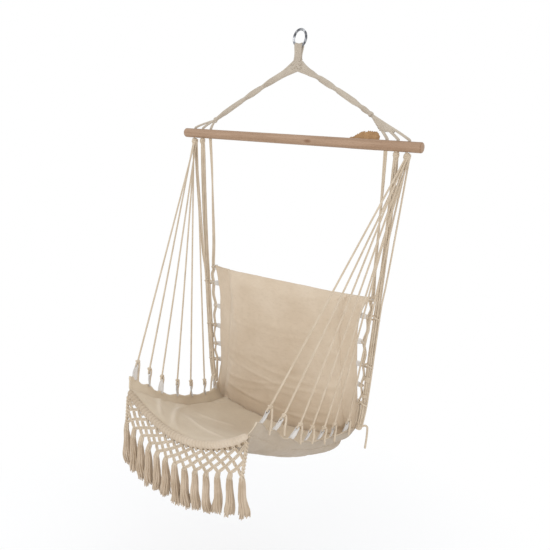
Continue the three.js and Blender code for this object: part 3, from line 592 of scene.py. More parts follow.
def beech_paint():
    """Beech: grain and flecks along the bar, the mark of a branch, and a line of painted shade on each
    rounded end.
    """
    paint = Paint("beech", 0.55)
    grain = paint.noise((5, 90, 90), 5, 0.6, 0.6)
    flecks = paint.noise((160, 900, 900), 2)
    base = paint.ramp(grain, (0.3, (148, 117, 92)), (0.5, (161, 131, 105)), (0.72, (175, 145, 120)))
    wood = paint.blend(0.8, base, paint.ramp(flecks, (0.6, WHITE), (0.74, (215, 198, 184))))
    ends = {0: paint.stretched((60, 140, 140)), 1: BRANCH_MARK}
    spot = paint.add("ShaderNodeVectorMath", ends, operation="DISTANCE").outputs["Value"]
    mark = paint.ramp(spot, (0.2, (196, 174, 156)), (0.55, (218, 202, 187)), (1.0, WHITE))
    # Painted shade: a darker ring round each rounded end, where the edge of the rounding would be in shade.
    reach = paint.math("MULTIPLY_ADD", paint.math("ABSOLUTE", paint.axes()["X"]), 100, -44)
    rim = paint.ramp(reach, (0.5, WHITE), (0.62, (200, 178, 158)), (0.75, WHITE))
    paint.colour(paint.blend(0.9, paint.blend(0.9, wood, mark), rim))
    paint.rough(paint.math("MULTIPLY_ADD", grain, 0.25, 0.42))
    paint.bump(paint.math("ADD", grain, flecks), 0.12 * MM, 0.5)
    return paint.material


def tag_paint():
    paint = Paint("tag_hide", 0.75)
    blotch = paint.noise(38, 4)
    paint.colour(paint.ramp(blotch, (0.3, (150, 113, 74)), (0.55, (169, 131, 89)), (0.8, (186, 151, 108))))
    paint.bump(paint.noise(700, 4, 0.7), 0.3 * MM, 0.7)
    return paint.material


def fibre_paint(name, dark, middle, pale, relief=0.06 * MM, mottle=0.25):
    """Cotton: blotches of colour along the yarns, fine fibres in the bump."""
    paint = Paint(name, 0.92)
    base = paint.ramp(paint.noise(26), (0.3, middle), (0.7, pale))
    fine = paint.noise(900, 3, 0.55)
    paint.colour(paint.blend(mottle, base, paint.ramp(fine, (0.34, dark), (0.58, WHITE))))
    paint.bump(fine, relief, 0.5)
    paint.sheen(0.15)
    paint.shader.inputs["Sheen Roughness"].default_value = 0.6
    return paint.material


def highlight_streak(paint, axes, centre, turn, length, width):
    """Mask of a painted highlight: 1 along a crease's crest, fading beside and beyond it."""

    def part(x_share, y_share, size):
        start = -(centre[0] * x_share + centre[1] * y_share) / size
        across = paint.math("MULTIPLY_ADD", axes["Y"], y_share / size, start)
        return paint.math("MULTIPLY_ADD", axes["X"], x_share / size, across)

    along = paint.math("ABSOLUTE", part(math.cos(turn), math.sin(turn), length))
    beside = part(-math.sin(turn), math.cos(turn), width)
    fall = paint.math("ADD", paint.math("POWER", along, 4), paint.math("MULTIPLY", beside, beside))
    return paint.math("EXPONENT", paint.math("MULTIPLY", fall, -1))


def woven_paint(name, dark, middle, pale, up_axis, left_shade=None, painted_light_streaks=()):
    """Woven cloth: threads along X and the axis named, slubs, soft blotches, pale streaks of painted
    highlight along creases, and painted shade towards the left end where asked.
    """
    paint = Paint(name, 0.93)
    axes = paint.axes()
    waves = [paint.math("SINE", paint.math("MULTIPLY", axes[axis], math.pi / THREAD_WIDTH))
             for axis in ("X", up_axis)]
    weave = paint.math("MULTIPLY", *waves)
    yarns = paint.math("ADD", paint.noise((60, 900, 60), 3, 0.6), paint.noise((900, 60, 900), 3, 0.6))
    base = paint.ramp(paint.noise(9, 4), (0.32, middle), (0.68, pale))
    cloth = paint.blend(0.3, base, paint.ramp(yarns, (0.8, dark), (1.0, WHITE)))
    # Painted shade: where asked, the cloth darkens towards the left end (-X).
    if left_shade:
        shaded_left = paint.ramp(paint.math("MULTIPLY_ADD", axes["X"], 2, 0.5), (0.1, left_shade), (0.6, WHITE))
        cloth = paint.blend(1.0, cloth, shaded_left)
    # Painted highlight: pale streaks along the fold crests.
    for x, y, turn, _, length, width in painted_light_streaks:
        highlight = highlight_streak(paint, axes, (x, y), turn, length, width)
        cloth = paint.blend(paint.math("MULTIPLY", highlight, HIGHLIGHT_STRENGTH), cloth, HIGHLIGHT_COLOUR, "MIX")
    paint.colour(cloth)
    height = paint.math("ADD", paint.math("MULTIPLY", weave, 0.35), yarns)
    coarse = paint.bump(paint.noise(70, 4, 0.6), 1.2 * MM, 0.5)
    paint.bump(height, 0.3 * MM, 0.7, Normal=coarse)
    paint.sheen(0.12)
    return paint.material


PAINTS = {
    "chrome": chrome_paint(),
    "beech": beech_paint(),
    "tag": tag_paint(),
    "cord": fibre_paint("cotton_cord", (228, 220, 210), (192, 174, 150), (205, 189, 167)),
    "bridle": fibre_paint("bridle_cotton", (236, 232, 226), (175, 162, 145), (187, 175, 158),
                          0.02 * MM, 0.12),
    "tassel": fibre_paint("tassel_cotton", (214, 202, 187), (181, 160, 134), (200, 181, 158)),
    "tape": fibre_paint("tape_cotton", (232, 230, 226), (203, 197, 190), (217, 212, 206)),
    "seat": woven_paint("seat_canvas", (228, 222, 212), (201, 184, 160), (211, 196, 173), "Y",
                        painted_light_streaks=SEAT_FOLDS),
    # A darker copy of the canvas for the outer faces of bands and pads: painted shade.
    "underside_shade": woven_paint("underside_shade_canvas", (221, 212, 200), (170, 154, 134), (178, 163, 144), "Y"),
    "back": woven_paint("back_canvas", (228, 222, 212), (203, 184, 160), (212, 195, 173), "Z"),
    # The last colour darkens the hem towards its left end: painted shade.
    "hem": woven_paint("hem_canvas", (227, 218, 207), (198, 181, 159), (209, 193, 173), "Z",
                       (229, 225, 219)),
    # Darker cord colour for the strip behind the net's loops and for the hem's whipping: painted shade.
    "fold": fibre_paint("hem_fold_shade", (222, 212, 198), (178, 157, 129), (192, 171, 143)),
}


# Surfaces of the sling, given from the bar's centre

def seat_edge(share):
    fall = read_table(SEAT_EDGE_FALL, share)
    half = CORNER_HALF_WIDTH * read_table(SEAT_HALF_WIDTH, share)
    return stack(half, mix(-TIP_REACH, CORNER_REACH, np.asarray(share)), -mix(TIP_DROP, CORNER_DROP, fall))


def seat_point(depth, across):
    """Point of the seat for a share of its depth and a share of its half width, negative on the left."""
    across = np.asarray(across, float)
    depth = np.asarray(depth, float)
    edge = seat_edge(depth)
    flat = read_table(SEAT_FLAT, depth)
    fall = flat * across ** 2 + (1 - flat) * np.abs(across) ** 16
    middle_y = mix(-HEM_REACH, CREASE_REACH, depth)
    middle_z = -mix(HEM_DROP, CREASE_DROP, read_table(SEAT_MIDDLE_FALL, depth))
    point = stack(across * edge[..., 0], mix(middle_y, edge[..., 1], across ** 2),
                  mix(middle_z, edge[..., 2], fall))
    pull = hump(depth, 0, FRONT_PULL_DEPTH) * np.interp(np.abs(across), *FRONT_PULL_SHARES)
    out, forward, up = FRONT_PULL
    return point + stack(np.sign(across) * pull * out, pull * forward, pull * up)


def back_point(height, across):
    """Point of the back for a share of its height above the crease and a share of its half width."""
    across = np.asarray(across, float)
    height = np.asarray(height, float)
    crease = seat_point(1, across)
    half = mix(CORNER_HALF_WIDTH, BACK_TOP_HALF_WIDTH, read_table(BACK_HALF_WIDTH, height))
    lean = (CREASE_REACH - BACK_TOP_REACH) * BACK_CURL_SHARE * read_table(BACK_CURL, height)
    y = mix(crease[..., 1], BACK_TOP_REACH, height) + lean * across ** 6
    return stack(across * half, y, mix(crease[..., 2], -BACK_TOP_DROP, height))


def hem_point(across):
    return seat_point(0, across)


def hem_radius(across):
    return HEM_RADIUS * np.interp(np.abs(across), *HEM_TAPER)


def normals_on(surface, along, across):
    step = 1 / 200
    first = surface(np.minimum(along + step, 1), across) - surface(np.maximum(along - step, 0), across)
    second = surface(along, np.minimum(across + step, 1)) - surface(along, np.maximum(across - step, 0))
    return unit(np.cross(first, second))


def grid(rows, columns):
    return np.meshgrid(np.linspace(0, 1, rows + 1), np.linspace(0, 1, columns + 1), indexing="ij")


# Places of the cords on the right side

CORNER_KNOT = seat_edge(1) + unit(vec(0.86, 0.05, 0.5)) * (CORNER_KNOT_RADIUS + 4 * MM)
OUTER_KNOT = vec(HOLES_X[0], 0, -OUTER_KNOT_DROP)
BUNDLE_TOP = vec(HOLES_X[1], 0, -BUNDLE_TOP_DROP)
BUNDLE_ROUTE = np.array([mix(BUNDLE_TOP, CORNER_KNOT, share) + vec(bow * BUNDLE_BOW, 0, 0)
                         for share, bow in BUNDLE_BOWS])


def bundle_at(z):
    return read_path(-z, -BUNDLE_ROUTE[:, 2], BUNDLE_ROUTE)


def fan_place(index):
    """Where a fan cord ends: the band's edge, the knot above it, the eye of its bight and the edge's way."""
    share = FAN_PLACES[index]
    base = seat_edge(share)
    knot = base + vec(*FAN_LEANS[index], FAN_UP) * FAN_RISE
    rise = unit(knot - base)
    tangent = unit(seat_edge(min(share + 0.02, 1)) - seat_edge(share - 0.02))
    return {"base": base, "knot": knot, "rise": rise, "tangent": tangent, "eye": knot - rise * FAN_EYE_DROP}


def back_loop_place(index):
    """Where a tape of the back holds the lacing: the band's edge, the tape's eye and the edge's way."""
    height = BACK_LOOPS[index]
    base = back_point(height, 1)
    bundle = bundle_at(base[2])
    beside = vec(bundle[0] - BUNDLE_RADIUS - 2 * CORD_RADIUS, bundle[1], base[2])
    eye = mix(base, beside, BACK_LOOP_REACHES[index])
    tangent = unit(back_point(min(height + 0.02, 1), 1) - back_point(height - 0.02, 1))
    return {"base": base, "eye": eye, "tangent": tangent}


def fan_root(index):
    """Where each cord leaves the ball knot, in rows of a close packing."""
    row = [0, 0, 1, 1, 1, 2, 2, 2][index]
    place = [0, 1, 0, 1, 2, 0, 1, 2][index] - [1, 2, 2][row] / 2
    out = vec(place * FAN_ROOT_PITCH, (row - 1) * FAN_ROOT_PITCH * 0.9, -OUTER_KNOT_RADIUS * 0.5)
    return OUTER_KNOT + out


def on_side(points, side):
    """Points of the right side, moved to the side asked for."""
    return np.asarray(points, float) * vec(side, 1, 1)


# Knots and wraps

def trefoil(centre, radius, cord_radius, turn):
    """Path of an overhand knot, drawn up small round a centre and turned by an angle about Z and then X."""
    angle = np.linspace(0.35, ROUND - 0.1, 44)
    size = (radius - cord_radius) / 3
    path = stack((np.sin(angle) + 2 * np.sin(2 * angle)) * size, -np.sin(3 * angle) * size * 1.1,
                 (np.cos(angle) - 2 * np.cos(2 * angle)) * size)
    return path @ np.array(Matrix.Rotation(turn, 3, "Z") @ Matrix.Rotation(0.6 * turn, 3, "X")).T + centre


def coil(centre, axis, size, height, turns, phase=0.0):
    """Path wound round an axis at a radius, or at one that a function gives for a share of its height."""
    axis = unit(np.asarray(axis, float))
    side = unit(np.cross(axis, vec(0, 1, 0) if abs(axis[1]) < 0.9 else vec(1, 0, 0)))
    share = np.linspace(0, 1, int(COIL_STEPS * turns) + 1)
    angle = ROUND * turns * share + phase
    radius = size(share) if callable(size) else size
    middle = centre + axis * ((share - 0.5) * height)[:, None]
    return around(middle, side, np.cross(axis, side), radius, angle)


def wound(base, wide, thin, turns, phase):
    """Path that winds round another at two half widths."""
    _, side, up = frames_of(base)
    angle = phase + ROUND * turns * np.linspace(0, 1, len(base))
    return off_path(base, side, thin * np.sin(angle), up, wide * np.cos(angle))


def ball_knot(shape, centre, axis, radius, turns=4.3):
    """A ball of wound cord: wraps round a core, with one cord over them at a slant."""

    def bulge(size, fall, least=0.0):
        return lambda share: size * np.sqrt(np.maximum(least, 1 - fall * (2 * share - 1) ** 2))

    core = coil(centre, axis, bulge(radius - 1.6 * CORD_RADIUS, 1, 0.08), 1.5 * radius, 7)
    shape.tube(core, CORD_RADIUS * 1.05, 7)
    wraps = coil(centre, axis, bulge(radius - CORD_RADIUS, 0.62), 1.55 * radius, turns)
    shape.tube(wraps, CORD_RADIUS, groove=DEEP_LAY)
    tilted = unit(np.asarray(axis, float) + vec(0.7, 0.5, 0.2))
    over = coil(centre, tilted, radius - 0.7 * CORD_RADIUS, 0.5 * CORD_RADIUS, 0.8, 0.7)
    shape.tube(over, CORD_RADIUS, groove=DEEP_LAY)


# Hanging gear

def hanging_ring():
    """Round steel wire in a ring, a little thicker at its weld and nicked there."""
    wire = RING_WIRE_DIAMETER / 2
    mean = RING_OUTER_DIAMETER / 2 - wire
    turn = circle(96)
    weld = 0.06 * hump(turn, RING_WELD_TURN, 0.09) - 0.03 * hump(turn, RING_WELD_TURN, 0.02)
    size = wire * (RING_SWELL + weld)
    out = vec(math.cos(RING_TURN), math.sin(RING_TURN), 0)
    beside = vec(-math.sin(RING_TURN), math.cos(RING_TURN), 0)
    radial = np.cos(turn)[:, None] * out + np.sin(turn)[:, None] * vec(0, 0, 1)
    path = vec(0, 0, HANG_HEIGHT - mean + wire) + radial * mean
    shape = Shape()
    shape.rings(around(path, radial, beside[None], size[:, None], circle(24)), looped=True)
    piece_from(shape, "ring_steel_wire", "chrome", "ring", "ring_steel", "hanging_ring")


def top_loop():
    """Cords side by side over the ring's wire, drawn in to the gathering knot."""
    wire = RING_WIRE_DIAMETER / 2
    mean = RING_OUTER_DIAMETER / 2 - wire
    reach = wire + CORD_RADIUS + LOOP_LIFT
    low = KNOT_HEIGHT + 2 * MM
    high = KNOT_HEIGHT + 24 * MM
    shape = Shape()
    for index in range(LOOP_CORDS):
        spread = 2 * index / (LOOP_CORDS - 1) - 1
        x = spread * (LOOP_WIDTH / 2 - CORD_RADIUS)
        waist = spread * (LOOP_WAIST / 2 - CORD_RADIUS)
        sway = LOOP_SWAY * math.sin(2.3 * index)
        under = HANG_HEIGHT - mean + wire - math.sqrt(mean ** 2 - x ** 2)
        front = [vec(waist * 1.1, -6 * MM, low), vec(waist - sway, -5 * MM, high)]
        arc = [vec(x, -reach * math.cos(angle), under + reach * math.sin(angle))
               for angle in np.linspace(0, math.pi, 7)]
        rear = [vec(waist + sway, 5 * MM, high), vec(waist * 1.1, 6 * MM, low)]
        shape.cord(front + arc + rear, CORD_RADIUS * 1.15, 14)
    piece_from(shape, "strap_cords", "bridle", "loop", "cord", "top_loop")


def gathering_knot():
    """Cords of the two legs that cross under the strap and fill the fork between the legs."""
    shape = Shape()
    for index in range(GATHER_CORDS):
        side = 1 if index % 2 else -1
        lane = (index // 2 - 2) / 2
        layer = (-1) ** (index // 2)
        path = [vec(0, 0, KNOT_HEIGHT) + mm(side * x + lane * lane_x, layer * y, z + lane * lane_z)
                for x, lane_x, y, z, lane_z in GATHER_STOPS]
        shape.cord(path, CORD_RADIUS * 1.8, 16)
    piece_from(shape, "gathering_wraps", "bridle", "loop", "cord", "gathering_knot")


def turned(first, second, angle):
    """Two offsets, turned together by an angle."""
    return first * np.cos(angle) - second * np.sin(angle), first * np.sin(angle) + second * np.cos(angle)


def leg_strand(shape, path, split, side, index):
    """A cord of a leg, from its lane in the ribbon to the split and on into a hole of the bar."""
    hole = side * HOLES_X[index // 2 if index < 6 else index - 6]
    beside = (index % 2 - 0.5) * LEG_PAIR_GAP
    entry = vec(hole + beside, 0, BAR_RADIUS + 4 * MM)
    way = mix(split, entry, 0.3) + mm(0, 0, 1)
    through = [vec(hole + beside * 0.9, 0, BAR_RADIUS - 5 * MM), vec(hole, 0, 2 * MM - BAR_RADIUS)]
    run = smooth_path([*path[:-6:4], mix(path[-1], split, 0.5), way, entry, *through])
    shape.tube(run, CORD_RADIUS * np.interp(np.linspace(0, 1, len(run)), *LEG_CORD_SHARES), 14)


def leg_web(shape, split, side):
    """Flat woven web where the right leg opens: cords that cross from one edge of the fan to the other."""
    high, low = [mix(split, vec(side * hole, 0, BAR_RADIUS), WEB_SHARE) for hole in (HOLES_X[0], HOLES_X[2])]

    def place(reach, across):
        return mix(mix(split, high, reach), mix(split, low, reach), across)

    def woven(index, places, radius):
        path = [point + vec(0, WEB_LIFT * (-1) ** (count + index), 0) for count, point in enumerate(places)]
        shape.cord(path, radius, 12)

    for row in range(WEB_ROWS):
        reach = (row + 0.6) / WEB_ROWS
        woven(row, [place(reach, step) for step in np.linspace(-0.06, 1.06, 9)], CORD_RADIUS * 1.25)
    for column in range(WEB_COLUMNS):
        across = (column + 0.5) / WEB_COLUMNS
        woven(column, [place(step, across) for step in np.linspace(0.1, 1.05, 8)], CORD_RADIUS * 1.2)


def bridle_leg(name, side, split, has_web):
    """Cords over a flat core, twisted as a ribbon to the split, that part there to the bar's holes."""
    knot = vec(0, 0, KNOT_HEIGHT)
    split = vec(*split)
    bow = [mix(knot, split, share) + vec(0, 0, rise * LEG_WIDTH) for share, rise in LEG_BOW_SHARES]
    base = smooth_path([knot + mm(side * 2, 0, -8), *bow, split])
    _, beside, up = frames_of(base)
    share = np.linspace(0, 1, len(base))
    wide = read_table(LEG_WIDTHS, share)
    thick = np.interp(share, *LEG_DEPTHS)
    twist = math.pi * np.interp(share, *LEG_TURNS[has_web])
    shape = Shape()
    angle = circle(72)
    lobes = 0.84 + 0.16 * np.sqrt(np.abs(np.sin(ROUND * np.cos(angle))))
    flat = (wide * 0.5 + 0.2 * CORD_RADIUS)[:, None] * np.cos(angle)
    deep = (thick * 0.5 + 0.45 * CORD_RADIUS)[:, None] * np.sin(angle) * lobes
    across, out = turned(flat, deep, twist[:, None])
    shape.rings(off_path(base, beside, out, up, across))
    for index in range(LEG_CORDS):
        layer = index % 2 - 0.5
        lane = (2 * (index // 2) + 1) / LEG_CORDS - 0.5
        flat = (lane + 0.1 * layer) * wide * 0.9
        across, out = turned(flat, layer * (thick - 2.4 * CORD_RADIUS), twist)
        leg_strand(shape, off_path(base, beside, out, up, across), split, side, index)
    collar = unit(split - bow[-1])
    shape.tube(coil(split - collar * MM, collar, LEG_WIDTH * 0.34, 7 * MM, 2.2), CORD_RADIUS)
    if has_web:
        leg_web(shape, split, side)
    else:
        shape.cord(trefoil(split + mm(-side * 6, -4, -7), 5 * MM, CORD_RADIUS, 1.0), CORD_RADIUS, 8)
    piece_from(shape, name + "_leg_cords", "bridle", "bridle", "cord", "bridle_leg_" + name)


# Spreader bar

def bar_profile():
    """Points of the bar's outline from end to end, with rounded ends: place along it and radius."""
    turn = np.linspace(0, math.pi / 2, 7)
    corner = np.column_stack([BAR_LENGTH / 2 - BAR_END_RADIUS + BAR_END_RADIUS * np.sin(turn),
                              BAR_RADIUS - BAR_END_RADIUS + BAR_END_RADIUS * np.cos(turn)])
    run = np.linspace(0, corner[0, 0], 60)[:-1]
    half = np.concatenate([np.column_stack([run, np.full(len(run), BAR_RADIUS)]), corner])
    return np.concatenate([(half * (-1, 1))[::-1], half[1:]])


def spreader_bar():
    """Beech dowel with three drilled cross holes at each end."""
    shape = Shape()
    along, radius = bar_profile().T[..., None]
    angle = circle(48)
    shape.rings(stack(along, radius * np.cos(angle), radius * np.sin(angle)))
    bar = piece_from(shape, "beech_bar", "beech", "bridle", "bar_wood", "spreader_bar")
    cutters = Shape()
    level, wide = np.array(HOLE_PROFILE).T[..., None]
    radius = HOLE_DIAMETER / 2 * wide
    angle = circle(24)
    for hole in HOLES_X:
        for side in (-1, 1):
            x = side * hole + radius * np.cos(angle)
            cutters.rings(stack(x, radius * np.sin(angle), BAR_RADIUS * level))
    cutter = piece_from(cutters, "hole_cutter", "beech", "bridle", "bar_wood")
    drill = bar.modifiers.new("holes", "BOOLEAN")
    drill.object = cutter
    drill.solver = "EXACT"
    apply_modifiers(bar)
    bpy.data.objects.remove(cutter)


def bar_tab():
    """Bare tab of hide laid round the bar's front, its free edge ragged, curled and drawn to a point."""
    inner = BAR_RADIUS + TAB_LIFT
    along, across = grid(90, 30)
    ragged = [noise.noise(Vector((22 * share, 3.1, 0))) + 0.5 * noise.noise(Vector((60 * share, 8.1, 0)))
              for share in along[:, 0]]
    ragged = np.array(ragged)[:, None]
    rise = TAB_RISE * read_table(TAB_RISES, along) * (1 + 0.16 * ragged)
    run = mix(-inner * math.pi / 3, rise, across)
    angle = np.minimum(run, 0) / inner
    curl = np.maximum(run, 0) ** 2 / (4 * TAB_RISE)
    ripple = TAB_RIPPLE * across * np.sin(ROUND * 1.7 * along)
    point = -TAB_POINT * hump(along, 0, 0.08) * hump(across, 0.75, 0.2)
    x = TAB_X + (along - 0.5) * TAB_LENGTH + point + TAB_RAGGED * ragged * np.sin(math.pi * across)

    def layer(share):
        radius = inner + TAB_THICKNESS * share
        return stack(x, radius * np.cos(angle) + curl + ripple, radius * np.sin(angle) + np.maximum(run, 0))

    shape = Shape()
    shape.sheet(layer(0.9), layer(0.1))
    piece_from(shape, "plain_tab", "tag", "bridle", "tab", "bar_tab")


# Suspension cords

def outer_knot(name, side):
    shape = Shape()
    ball_knot(shape, on_side(OUTER_KNOT, side), (0.15, 0.1, 1), OUTER_KNOT_RADIUS)
    cord_piece(shape, "ball_knot_" + name, "outer_knot_" + name)


def corner_knot(name, side):
    shape = Shape()
    ball_knot(shape, on_side(CORNER_KNOT, side), (0.3 * side, 0.2, 1), CORNER_KNOT_RADIUS, 4)
    cord_piece(shape, "corner_wraps_" + name, "corner_knot_" + name)


def free_tail(name, node, points, radius):
    """A cord's free end: a tube along the given points at the given radius."""
    path = smooth_path(points, 2.5 * MM)
    shape = Shape()
    shape.tube(path, radius)
    piece = cord_piece(shape, name, node)


def fan_tail(index, name, side):
    chance = random.Random(50 * index + side)
    knot = fan_place(index)["knot"]
    out = side * (FAN_KNOT_RADIUS - 1 * MM)
    drop = FAN_TAILS[index]
    tail = [knot + vec(out, 0, -2 * MM), knot + vec(out * 1.15, chance.uniform(-1, 1) * MM, -14 * MM),
            knot + vec(out + chance.uniform(-1, 2) * MM, chance.uniform(-4, 1) * MM, -0.6 * drop),
            knot + vec(out + chance.uniform(-1, 2) * MM, chance.uniform(-5, 1) * MM, -drop)]
    name = f"{index + 1}_{name}"
    free_tail("fan_end_" + name, "fan_cord_" + name, on_side(tail, side), 1.05 * CORD_RADIUS)


def corner_tail(name, side):
    radius = CORNER_KNOT_RADIUS
    hang = CORNER_KNOT + vec(2 * radius, 1.1 * radius, 0)
    tail = [CORNER_KNOT + vec(0.75 * radius, 0.3 * radius, 1 * MM), hang + mm(-9, -3, 3.5),
            hang + mm(-3, 0, 1.5), hang + mm(0, 0, -4), hang + vec(1 * MM, 0.5 * MM, -CORNER_TAIL / 2),
            hang + vec(0, 0, -CORNER_TAIL)]
    free_tail("corner_end_" + name, "corner_knot_" + name, on_side(tail, side), 1.2 * CORD_RADIUS)


def fan_cord(index, name, side):
    """One cord of the fan: down from the ball knot to its own knot, and a doubled bight through the tape."""
    chance = random.Random(10 * index + side)
    place = fan_place(index)
    start = fan_root(index)
    knot = place["knot"]
    bow = mix(start, knot, 0.45) + mm(0, -5 if index == 6 else 0, 0)
    shape = Shape()
    shape.cord(on_side([start, mix(start, knot, 0.02), bow, knot], side), CORD_RADIUS, step=3 * MM,
               groove=SHALLOW_LAY, phase=index)
    middle = on_side(knot, side)
    shape.cord(trefoil(middle, FAN_KNOT_RADIUS, 2.6 * MM, chance.uniform(0, 6)), 3.1 * MM, 8, 1.5 * MM,
               groove=SHALLOW_LAY)
    shape.tube(coil(middle, (0, 0, 1), 2.2 * MM, 8 * MM, 1.5), 3.2 * MM, 8)
    beside = place["tangent"] * (0.8 * CORD_RADIUS + TAPE_NECK / 2)
    stops = [(knot, 0.4), (mix(place["eye"], knot, 0.4), 0.9), (place["eye"], 0.7)]
    bight = [point + beside * out for point, out in stops]
    bight += [point - beside * out for point, out in stops[::-1]]
    shape.cord(on_side(bight, side), CORD_RADIUS * 0.9, 8, groove=SHALLOW_LAY)
    name = f"{index + 1}_{name}"
    cord_piece(shape, "fan_line_" + name, "fan_cord_" + name)


def outer_cord(name, side):
    """The cord from the ball knot that comes down beside the rear bundle to the corner."""
    beside = BUNDLE_RADIUS + CORD_RADIUS + OUTER_CORD_GAP
    along = [bundle_at(-share * CORNER_DROP) + vec(beside, 0, 0) for share in (0.53, 0.7, 0.82, 0.92)]
    start = fan_root(7)
    free = [mix(start, along[0], share) + vec(CORD_RADIUS, -CORD_RADIUS, 0) for share in (0.45, 0.85)]
    path = [start, *free, *along, CORNER_KNOT + vec(beside * 0.92, 0, 0)]
    shape = Shape()
    shape.cord(on_side(path, side), CORD_RADIUS, step=3 * MM, groove=DEEP_LAY)
    cord_piece(shape, "side_line_" + name, "outer_cord_" + name)


def rear_bundle(name, side):
    """Seven cords laid together from the middle hole to the corner, bound at the top and near the foot."""
    shape = Shape()
    base = smooth_path(on_side(BUNDLE_ROUTE, side), 4 * MM)
    shape.tube(base, CORD_RADIUS * 1.3, 8, groove=0.1)
    full = 0.72 + 0.28 * np.minimum(1, np.linspace(0, 1, len(base)) / 0.06)
    size = (BUNDLE_RADIUS - CORD_RADIUS) * full
    for index in range(6):
        path = wound(base, size * 1.25, size, 0.35 * side, ROUND * index / 6)
        shape.tube(path, CORD_RADIUS, groove=SHALLOW_LAY, phase=index)
    collar = on_side(vec(HOLES_X[1], 0, -BAR_RADIUS - BUNDLE_COLLAR_DROP), side)
    ball_knot(shape, collar, (0, 0.1, 1), BUNDLE_COLLAR_RADIUS, 3.2)
    for share, turns in BUNDLE_WRAPS:
        centre = bundle_at(-CORNER_DROP * share)
        axis = unit(bundle_at(-CORNER_DROP * share - 20 * MM) - centre)
        wraps = coil(on_side(centre, side), on_side(axis, side), BUNDLE_RADIUS + BUNDLE_WRAP_LIFT,
                     turns * BUNDLE_WRAP_PITCH, turns)
        shape.tube(wraps, CORD_RADIUS, groove=SHALLOW_LAY)
    cord_piece(shape, "laid_bundle_" + name, "rear_bundle_" + name)


def lacing_cord(name, side):
    """Doubled cord from the inner hole to the back's top and down through each tape, tied to the bundle."""
    places = [back_loop_place(index) for index in range(len(BACK_LOOPS))]
    eyes = [place["eye"] for place in places]
    start = vec(HOLES_X[2], 0, -LACING_TOP_DROP)
    route = [start] + [mix(start, eyes[0], share) + mm(0, 5, 0) for share in (0.25, 0.5, 0.8)]
    for index, place in enumerate(places):
        reach = place["tangent"] * HITCH_REACH
        route += [place["eye"] + reach, place["eye"] - reach]
        if index + 1 < len(places):
            route.append(mix(place["eye"], eyes[index + 1], 0.5) + mm(6, 0, 0))
    route.append(CORNER_KNOT + vec(-0.7 * CORNER_KNOT_RADIUS, 0, 0.3 * CORNER_KNOT_RADIUS))
    shape = Shape()
    path = smooth_path(on_side(route, side))
    _, first, second = frames_of(path, (1, 0, 0))
    apart = CORD_RADIUS * 0.95
    for phase in (0, math.pi):
        angle = 1.6 * math.pi * np.linspace(0, 1, len(path)) + phase
        twin = around(path, first, second, apart, angle)
        shape.tube(twin, CORD_RADIUS * 1.1, groove=FAINT_LAY, phase=phase)
    for place in places:
        hitch = coil(on_side(place["eye"], side), on_side(place["tangent"], side), 1.9 * CORD_RADIUS,
                     HITCH_REACH, 1.1)
        shape.tube(hitch, CORD_RADIUS, 8, groove=FAINT_LAY)
    for eye in eyes[1::2]:
        bundle = bundle_at(eye[2])
        near = mix(eye, bundle, 0.4)
        loop = [bundle + vec(*stop) * (BUNDLE_RADIUS + 2.4 * MM) for stop in LACING_LOOP]
        path = [eye, near + mm(0, -5, 4), *loop, near + mm(0, 5, -6), eye + mm(0, 2, -4)]
        shape.cord(on_side(path, side), CORD_RADIUS * 1.1, 8, groove=FAINT_LAY)
    cord_piece(shape, "lacing_line_" + name, "lacing_cord_" + name)


# Sling

def tape_loop(shape, place, tangent, side, root):
    """Tape folded round a cord at the eye, gathered narrow there, its feet sewn to the band's inside."""
    base, eye = place["base"], place["eye"]
    rise = unit(eye - base)
    width = unit(tangent - rise * (tangent @ rise))
    spread = np.cross(rise, width)
    if spread[0] < 0:
        spread = -spread

    def half(stops, foot):
        above = [(mix(base, eye, share) + spread * off, TAPE_WIDTH * size) for share, off, size in stops]
        return [(base - rise * root - spread * foot, TAPE_WIDTH)] + above

    bend = CORD_RADIUS + TAPE_THICKNESS
    arc = [(eye + (spread * math.cos(angle) + rise * math.sin(angle)) * bend, TAPE_NECK)
           for angle in np.linspace(-0.3, math.pi + 0.3, 9)]
    stops = half(TAPE_OUTER, 2.2 * MM) + arc + half(TAPE_INNER, 4 * MM)[::-1]
    points = np.array([point for point, _ in stops])
    path = smooth_path(points, 2 * MM)
    run = run_of(points)
    size = np.interp(np.linspace(0, run[-1], len(path)), run, [size for _, size in stops])
    outward = unit(np.cross(width, unit(np.gradient(path, axis=0))))
    lanes = np.linspace(-0.5, 0.5, 7)
    ripple = TAPE_RIPPLE * np.sin(lanes * 9)
    shape.sheet(*[on_side(off_path(path, width[None], size[:, None] * lanes, outward, ripple + level), side)
                  for level in (TAPE_THICKNESS / 2, -TAPE_THICKNESS / 2)])


def rolling(points, scale, seed):
    """Smooth noise from -1 to 1 at each point."""
    values = [noise.noise(Vector(point) + Vector((seed, 0, 0))) for point in points.reshape(-1, 3) * scale]
    return np.array(values).reshape(points.shape[:-1])


def cut_size(surface, along, across):
    """Width and length of a band laid flat, from the middle lines of its surface."""
    points = surface(along, across)
    widths = np.linalg.norm(np.diff(points, axis=1), axis=-1).sum(axis=1)
    lengths = np.linalg.norm(np.diff(points, axis=0), axis=-1).sum(axis=0)
    return round(float(widths.mean()), 3), round(float(lengths.mean()), 3)


